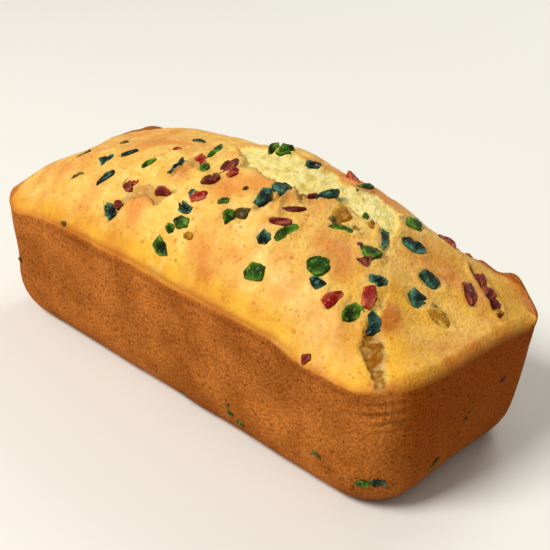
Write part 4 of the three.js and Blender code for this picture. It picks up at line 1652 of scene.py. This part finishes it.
@dataclass(frozen=True)
class CandiedFruit:
    """All the fruit of one kind, in one mesh of closed lumps set in the crust.

    A lump's profile runs from its foot to its top, in rows of the outline's scale, the lift as
    a share of the depth or the height, and how much painted highlight its edge takes.
    """

    candy: Candy
    pieces: tuple[Die, ...]
    flecks: tuple[WallFleck, ...]
    body: CakeBody
    sides: int = 24
    dent: float = 0.3
    sunk_share: float = 0.4
    deepest_seat: float = 1.6
    fleck_width: float = 0.75
    fleck_height: float = 0.55
    sharp_edge: float = 30.0
    profile: tuple[tuple[float, float, float], ...] = (
        (0.0, -1.0, 0.0),
        (0.8, -0.9, 0.0),
        (0.97, -0.4, 0.0),
        (1.0, 0.0, 0.1),
        (0.99, 0.6, 0.4),
        (0.95, 0.9, 0.8),
        (0.86, 1.0, 1.0),
        (0.7, 1.0, 0.5),
        (0.46, 1.0, 0.25),
        (0.22, 1.0, 0.1),
        (0.0, 1.0, 0.1),
    )

    def seat(self, die: Die) -> tuple[Array, Array]:
        """Find the crust's surface under a die.

        Args:
            die: the piece of fruit.

        Returns:
            The place, and the three directions of the die's own frame.
        """
        x = np.array([die.x])
        y = np.array([die.y])
        torn, _, _ = self.body.tears.change(x, y)
        form = self.body.form
        up = form.normal(x, y)[0]
        z = form.risen_top(x, y) + np.maximum(torn, -self.deepest_seat) + total_rise(PLATES, x, y)
        heading = np.array([cos(radians(die.turn)), sin(radians(die.turn)), 0.0])
        along = heading - up * heading.dot(up)
        along /= np.linalg.norm(along)
        return np.array([die.x, die.y, z[0]]), np.stack([along, np.cross(up, along), up])

    def wall_seat(self, fleck: WallFleck) -> tuple[Array, Array]:
        """Find the wall's surface at a fleck.

        The corner's centre moves in with the wall's inset while its radius shrinks by a share
        of it, and the wall's slope over a small step tips the outward direction.

        Args:
            fleck: the bit of fruit.

        Returns:
            The place, and the three directions of the fleck's own frame.
        """
        form = self.body.form
        step = 0.5
        inset, higher = form.wall_inset(fleck.height + np.array([0.0, step]))
        up = np.array([0.0, 0.0, 1.0])
        angle = radians(fleck.angle)
        out = np.array([cos(angle), -sin(angle), 0.0])
        centre = np.array([form.length / 2 - form.corner, form.corner - form.width / 2, 0.0])
        radius = form.corner - form.corner_shrink * inset
        shrunk = (1 - form.corner_shrink) * inset
        spot = centre - np.array([shrunk, -shrunk, 0.0]) + radius * out + up * fleck.height
        away = np.array([-1.0, 0.0, 0.0]) if fleck.angle > 45 else np.array([0.0, 1.0, 0.0])
        spot = spot + away * max(fleck.along - shrunk, 0.0)
        out = out + up * ((higher - inset) / step)
        out /= np.linalg.norm(out)
        side = np.cross(up, out)
        side /= np.linalg.norm(side)
        return spot, np.stack([side, np.cross(out, side), out])

    def outline(self, length: float, width: float, form: Form, draw: np.random.Generator) -> Array:
        """Cut an outline with straight sides between a few corners.

        Each corner lies on a superellipse, made lobed, tapered and bent as the form says, and
        is shaken a little. The sides are the straight lines between the corners.

        Args:
            length: size along the piece.
            width: size across it.
            form: the kind of outline.
            draw: the random draw that shakes it.

        Returns:
            The outline's places, one row each.
        """
        squareness, lobes, lobe, taper, bend, corners = form.value
        shake = draw.uniform(-0.32, 0.32, corners)
        angle = (np.arange(corners) + 0.5 + shake) / corners * 2 * pi
        c, s = np.cos(angle), np.sin(angle)
        radius = (np.abs(c) ** squareness + np.abs(s) ** squareness) ** (-1 / squareness)
        radius = radius * (1 + lobe * np.cos(lobes * angle)) * draw.uniform(0.86, 1.14, corners)
        a = length / 2 * radius * c
        b = width / 2 * (radius * s * (1 - taper * c) - bend * c * c)
        turn = np.arange(self.sides) / self.sides * corners
        first = turn.astype(int)
        part = (turn - first)[:, None]
        cut = np.stack([a, b], -1)
        return cut[first] * (1 - part) + cut[(first + 1) % corners] * part

    def lump(self, size: tuple[float, float, float], form: Form, seed: int) -> tuple[Array, Array]:
        """Shape one lump about its seat: its outline swept from a sunken foot to its top.

        At each level of the profile the outline is scaled and lifted. Three slanting planes
        and now and then a fold cut into the top, which is tilted, and noise dents the whole.

        Args:
            size: length, width and the height that shows.
            form: the kind of outline.
            seed: number of the random draw.

        Returns:
            The points, level by level, and a mask of painted highlights on the top edges.
        """
        length, width, height = size
        draw = np.random.default_rng(seed)
        ring = self.outline(length, width, form, draw)
        scale, lift, edge = np.array(self.profile).T[:, :, None]
        sunk = min(length, width) * self.sunk_share
        rise = np.where(lift > 0, lift * height, lift * sunk)
        a = ring[:, 0] * scale
        b = ring[:, 1] * scale
        share_a = a / (length / 2)
        share_b = b / (width / 2)
        slopes = np.zeros_like(a)
        for heading in draw.uniform(0, 2 * pi, 3):
            across = share_a * np.cos(heading) + share_b * np.sin(heading)
            slopes += 0.55 * np.maximum(across - 0.12, 0)
        heading = draw.uniform(0, pi)
        fold = share_a * np.sin(heading) - share_b * np.cos(heading)
        slopes += draw.choice([0.0, 0.5]) * bell(fold - 0.15, 0.16)
        tilt = draw.uniform(-0.16, 0.16, 2)
        tipped = (a * tilt[0] + b * tilt[1] - slopes * height) * (rise > 0)
        local = np.stack([a, b, rise + tipped], -1)
        shift = draw.uniform(0, 500, 3)
        dents = np.stack([lattice_noise(local + shift, 1.6, 200 + k) for k in range(3)], -1)
        fine = np.stack([lattice_noise(local + shift, 0.7, 210 + k) for k in range(3)], -1)
        local = local + self.dent * min(1.0, min(length, width) / 4) * (dents + 0.6 * fine)
        patch = 0.5 + 0.5 * lattice_noise(local + shift, 2.6, 220)
        # Painted highlight on the top edges, in patches.
        return local, edge * smooth(patch * 1.8 - 0.5)

    def lump_faces(self) -> tuple[Array, Array]:
        """Number the faces of one lump: quads between its levels, and a fan at foot and top.

        Returns:
            The quads and the triangles, one row each.
        """
        inner = len(self.profile) - 2
        level = 1 + np.arange(inner * self.sides).reshape(inner, self.sides)
        after = np.roll(level, -1, axis=1)
        quads = np.stack([level[:-1], after[:-1], after[1:], level[1:]], -1).reshape(-1, 4)
        foot = np.zeros(self.sides, int)
        tip = np.full(self.sides, inner * self.sides + 1)
        low_fan = np.stack([foot, after[0], level[0]], -1)
        return quads, np.concatenate([low_fan, np.stack([level[-1], after[-1], tip], -1)])

    @staticmethod
    def column(levels: Array) -> Array:
        """List a lump's values once each: one for the foot, the levels between, one for the top."""
        width = levels.shape[2:]
        return np.concatenate([levels[0, :1], levels[1:-1].reshape(-1, *width), levels[-1, :1]])

    def build(self, material: bpy.types.Material) -> bpy.types.Object:
        """Build the kind's mesh and dress it.

        Args:
            material: the finish of this kind of fruit.

        Returns:
            The object that holds every lump of the kind.
        """
        seats = [(self.seat(d), (d.length, d.width, d.height), d.form) for d in self.pieces]
        for fleck in self.flecks:
            size = (fleck.size, self.fleck_width * fleck.size, self.fleck_height)
            seats.append((self.wall_seat(fleck), size, BLOCK))
        points, edges = [], []
        for number, ((origin, axes), size, form) in enumerate(seats):
            local, edge = self.lump(size, form, 900 + 37 * number + len(self.candy.value))
            points.append(self.column(origin + local @ axes))
            edges.append(self.column(edge))
        block = len(points[0])
        numbers = np.arange(len(seats))
        starts = (numbers * block)[:, None, None]
        quads, triangles = self.lump_faces()
        faces = (starts + quads).reshape(-1, 4), (starts + triangles).reshape(-1, 3)
        piece = make_piece(self.candy.value, np.concatenate(points), *faces)
        piece.data.set_sharp_from_angle(angle=radians(self.sharp_edge))
        # The mask named cut holds painted highlights on the lumps' top edges.
        add_mask(piece, "cut", np.concatenate(edges))
        add_mask(piece, "shade", np.repeat(numbers * GOLDEN_STEP % 1.0, block))
        settle(piece, material)
        return piece


# ---------------------------------------------------------------- studio


@dataclass(frozen=True)
class Lamp:
    """A square soft light: its place and size in metres, its power in watts and its colour."""

    name: str
    spot: tuple[float, float, float]
    power: float
    colour: tuple[float, float, float]
    size: float = 0.6
    aim: tuple[float, float, float] = (0.0, 0.0, 0.04)

    def build(self) -> None:
        """Hang the light, turned towards the loaf."""
        data = bpy.data.lights.new(self.name, "AREA")
        data.shape = "SQUARE"
        data.size = self.size
        data.energy = self.power
        data.color = self.colour
        made = bpy.data.objects.new(self.name, data)
        spot = Vector(self.spot)
        turn = (Vector(self.aim) - spot).to_track_quat("-Z", "Y").to_matrix().to_4x4()
        made.matrix_world = Matrix.Translation(spot) @ turn
        bpy.context.scene.collection.objects.link(made)


@dataclass(frozen=True)
class Studio:
    """Pale floor, soft lights and the camera, with the floor's and the camera's sizes in mm."""

    azimuth: float = 41.39
    elevation: float = 27.53
    roll: float = 3.58
    distance: float = 390.4
    target: tuple[float, float, float] = (10.77, 0.14, 40.5)
    lens: float = 70.07
    sensor: float = 36.0
    floor_half: float = 4000.0
    floor_level: float = -0.05
    floor_colour: Colour = tone("E9E8E2")
    floor_roughness: float = 0.7
    world_colour: Colour = (1.0, 0.96, 0.88, 1.0)
    world_strength: float = 0.32
    lamps: tuple[Lamp, ...] = (
        Lamp("key", (-0.28, -1.1, 1.27), 28.2, (1.0, 0.97, 0.92)),
        Lamp("back", (-0.2, 1.1, 0.9), 6.0, (1.0, 1.0, 1.0)),
    )

    def camera(self) -> None:
        """Place the camera by its azimuth, elevation and roll about the target."""
        az, el, roll = radians(self.azimuth), radians(self.elevation), radians(self.roll)
        back = Vector((sin(az) * cos(el), -cos(az) * cos(el), sin(el)))
        level = Vector((cos(az), sin(az), 0.0))
        up = level.cross(-back)
        right = level * cos(roll) + up * sin(roll)
        top = up * cos(roll) - level * sin(roll)
        data = bpy.data.cameras.new("camera")
        data.lens = self.lens
        data.sensor_width = self.sensor
        data.clip_start = 0.01
        data.clip_end = 20.0
        made = bpy.data.objects.new("camera", data)
        bpy.context.scene.collection.objects.link(made)
        turn = Matrix((right, top, back)).transposed().to_4x4()
        spot = (Vector(self.target) + back * self.distance) * METRES
        made.matrix_world = Matrix.Translation(spot) @ turn
        bpy.context.scene.camera = made

    def floor(self) -> None:
        """Lay a wide plain floor under the loaf."""
        signs = np.array([[-1, -1], [1, -1], [1, 1], [-1, 1]])
        corners = np.column_stack([self.floor_half * signs, np.full(4, self.floor_level)])
        piece = make_piece("floor", corners, np.array([[0, 1, 2, 3]]), np.zeros((0, 3), int))
        material, graph, shader = start_material("floor_paint")
        graph.put(self.floor_colour, shader.inputs["Base Color"])
        graph.put(self.floor_roughness, shader.inputs["Roughness"])
        piece.data.materials.append(material)

    def world(self) -> None:
        """Fill the room with even pale light."""
        world = bpy.data.worlds.new("room")
        world.use_nodes = True
        background = world.node_tree.nodes["Background"]
        background.inputs["Color"].default_value = self.world_colour
        background.inputs["Strength"].default_value = self.world_strength
        bpy.context.scene.world = world

    def build(self) -> None:
        """Set up the whole studio."""
        self.camera()
        self.floor()
        self.world()
        for lamp in self.lamps:
            lamp.build()
        bpy.context.scene.view_settings.view_transform = "Standard"


# ---------------------------------------------------------------- making


def main() -> None:
    """Build the studio, the cake's body and its fruit, and report each piece."""
    logging.basicConfig(level=logging.INFO, format="%(name)s: %(message)s")
    Studio().build()
    group = Speckle().build()

    far = FarScatter().draw()
    fruit = {candy: SHOWN[candy] + tuple(far.get(candy, ())) for candy in Candy}
    form = LoafForm()
    every_die = tuple(die for kind in fruit.values() for die in kind)
    body = CakeBody(form, Tears(form), Browning(form), every_die)
    cake = body.build(BakedFinish().build(group))
    LOG.info("%s: %d faces", cake.name, len(cake.data.polygons))

    for candy, pieces in fruit.items():
        flecks = tuple(fleck for fleck in FLECKS if fleck.candy is candy)
        material = CANDY_FINISHES[candy].build(candy.value, group)
        piece = CandiedFruit(candy, pieces, flecks, body).build(material)
        LOG.info("%s: %d lumps, %d faces", piece.name, len(pieces), len(piece.data.polygons))


if __name__ == "__main__":
    main()
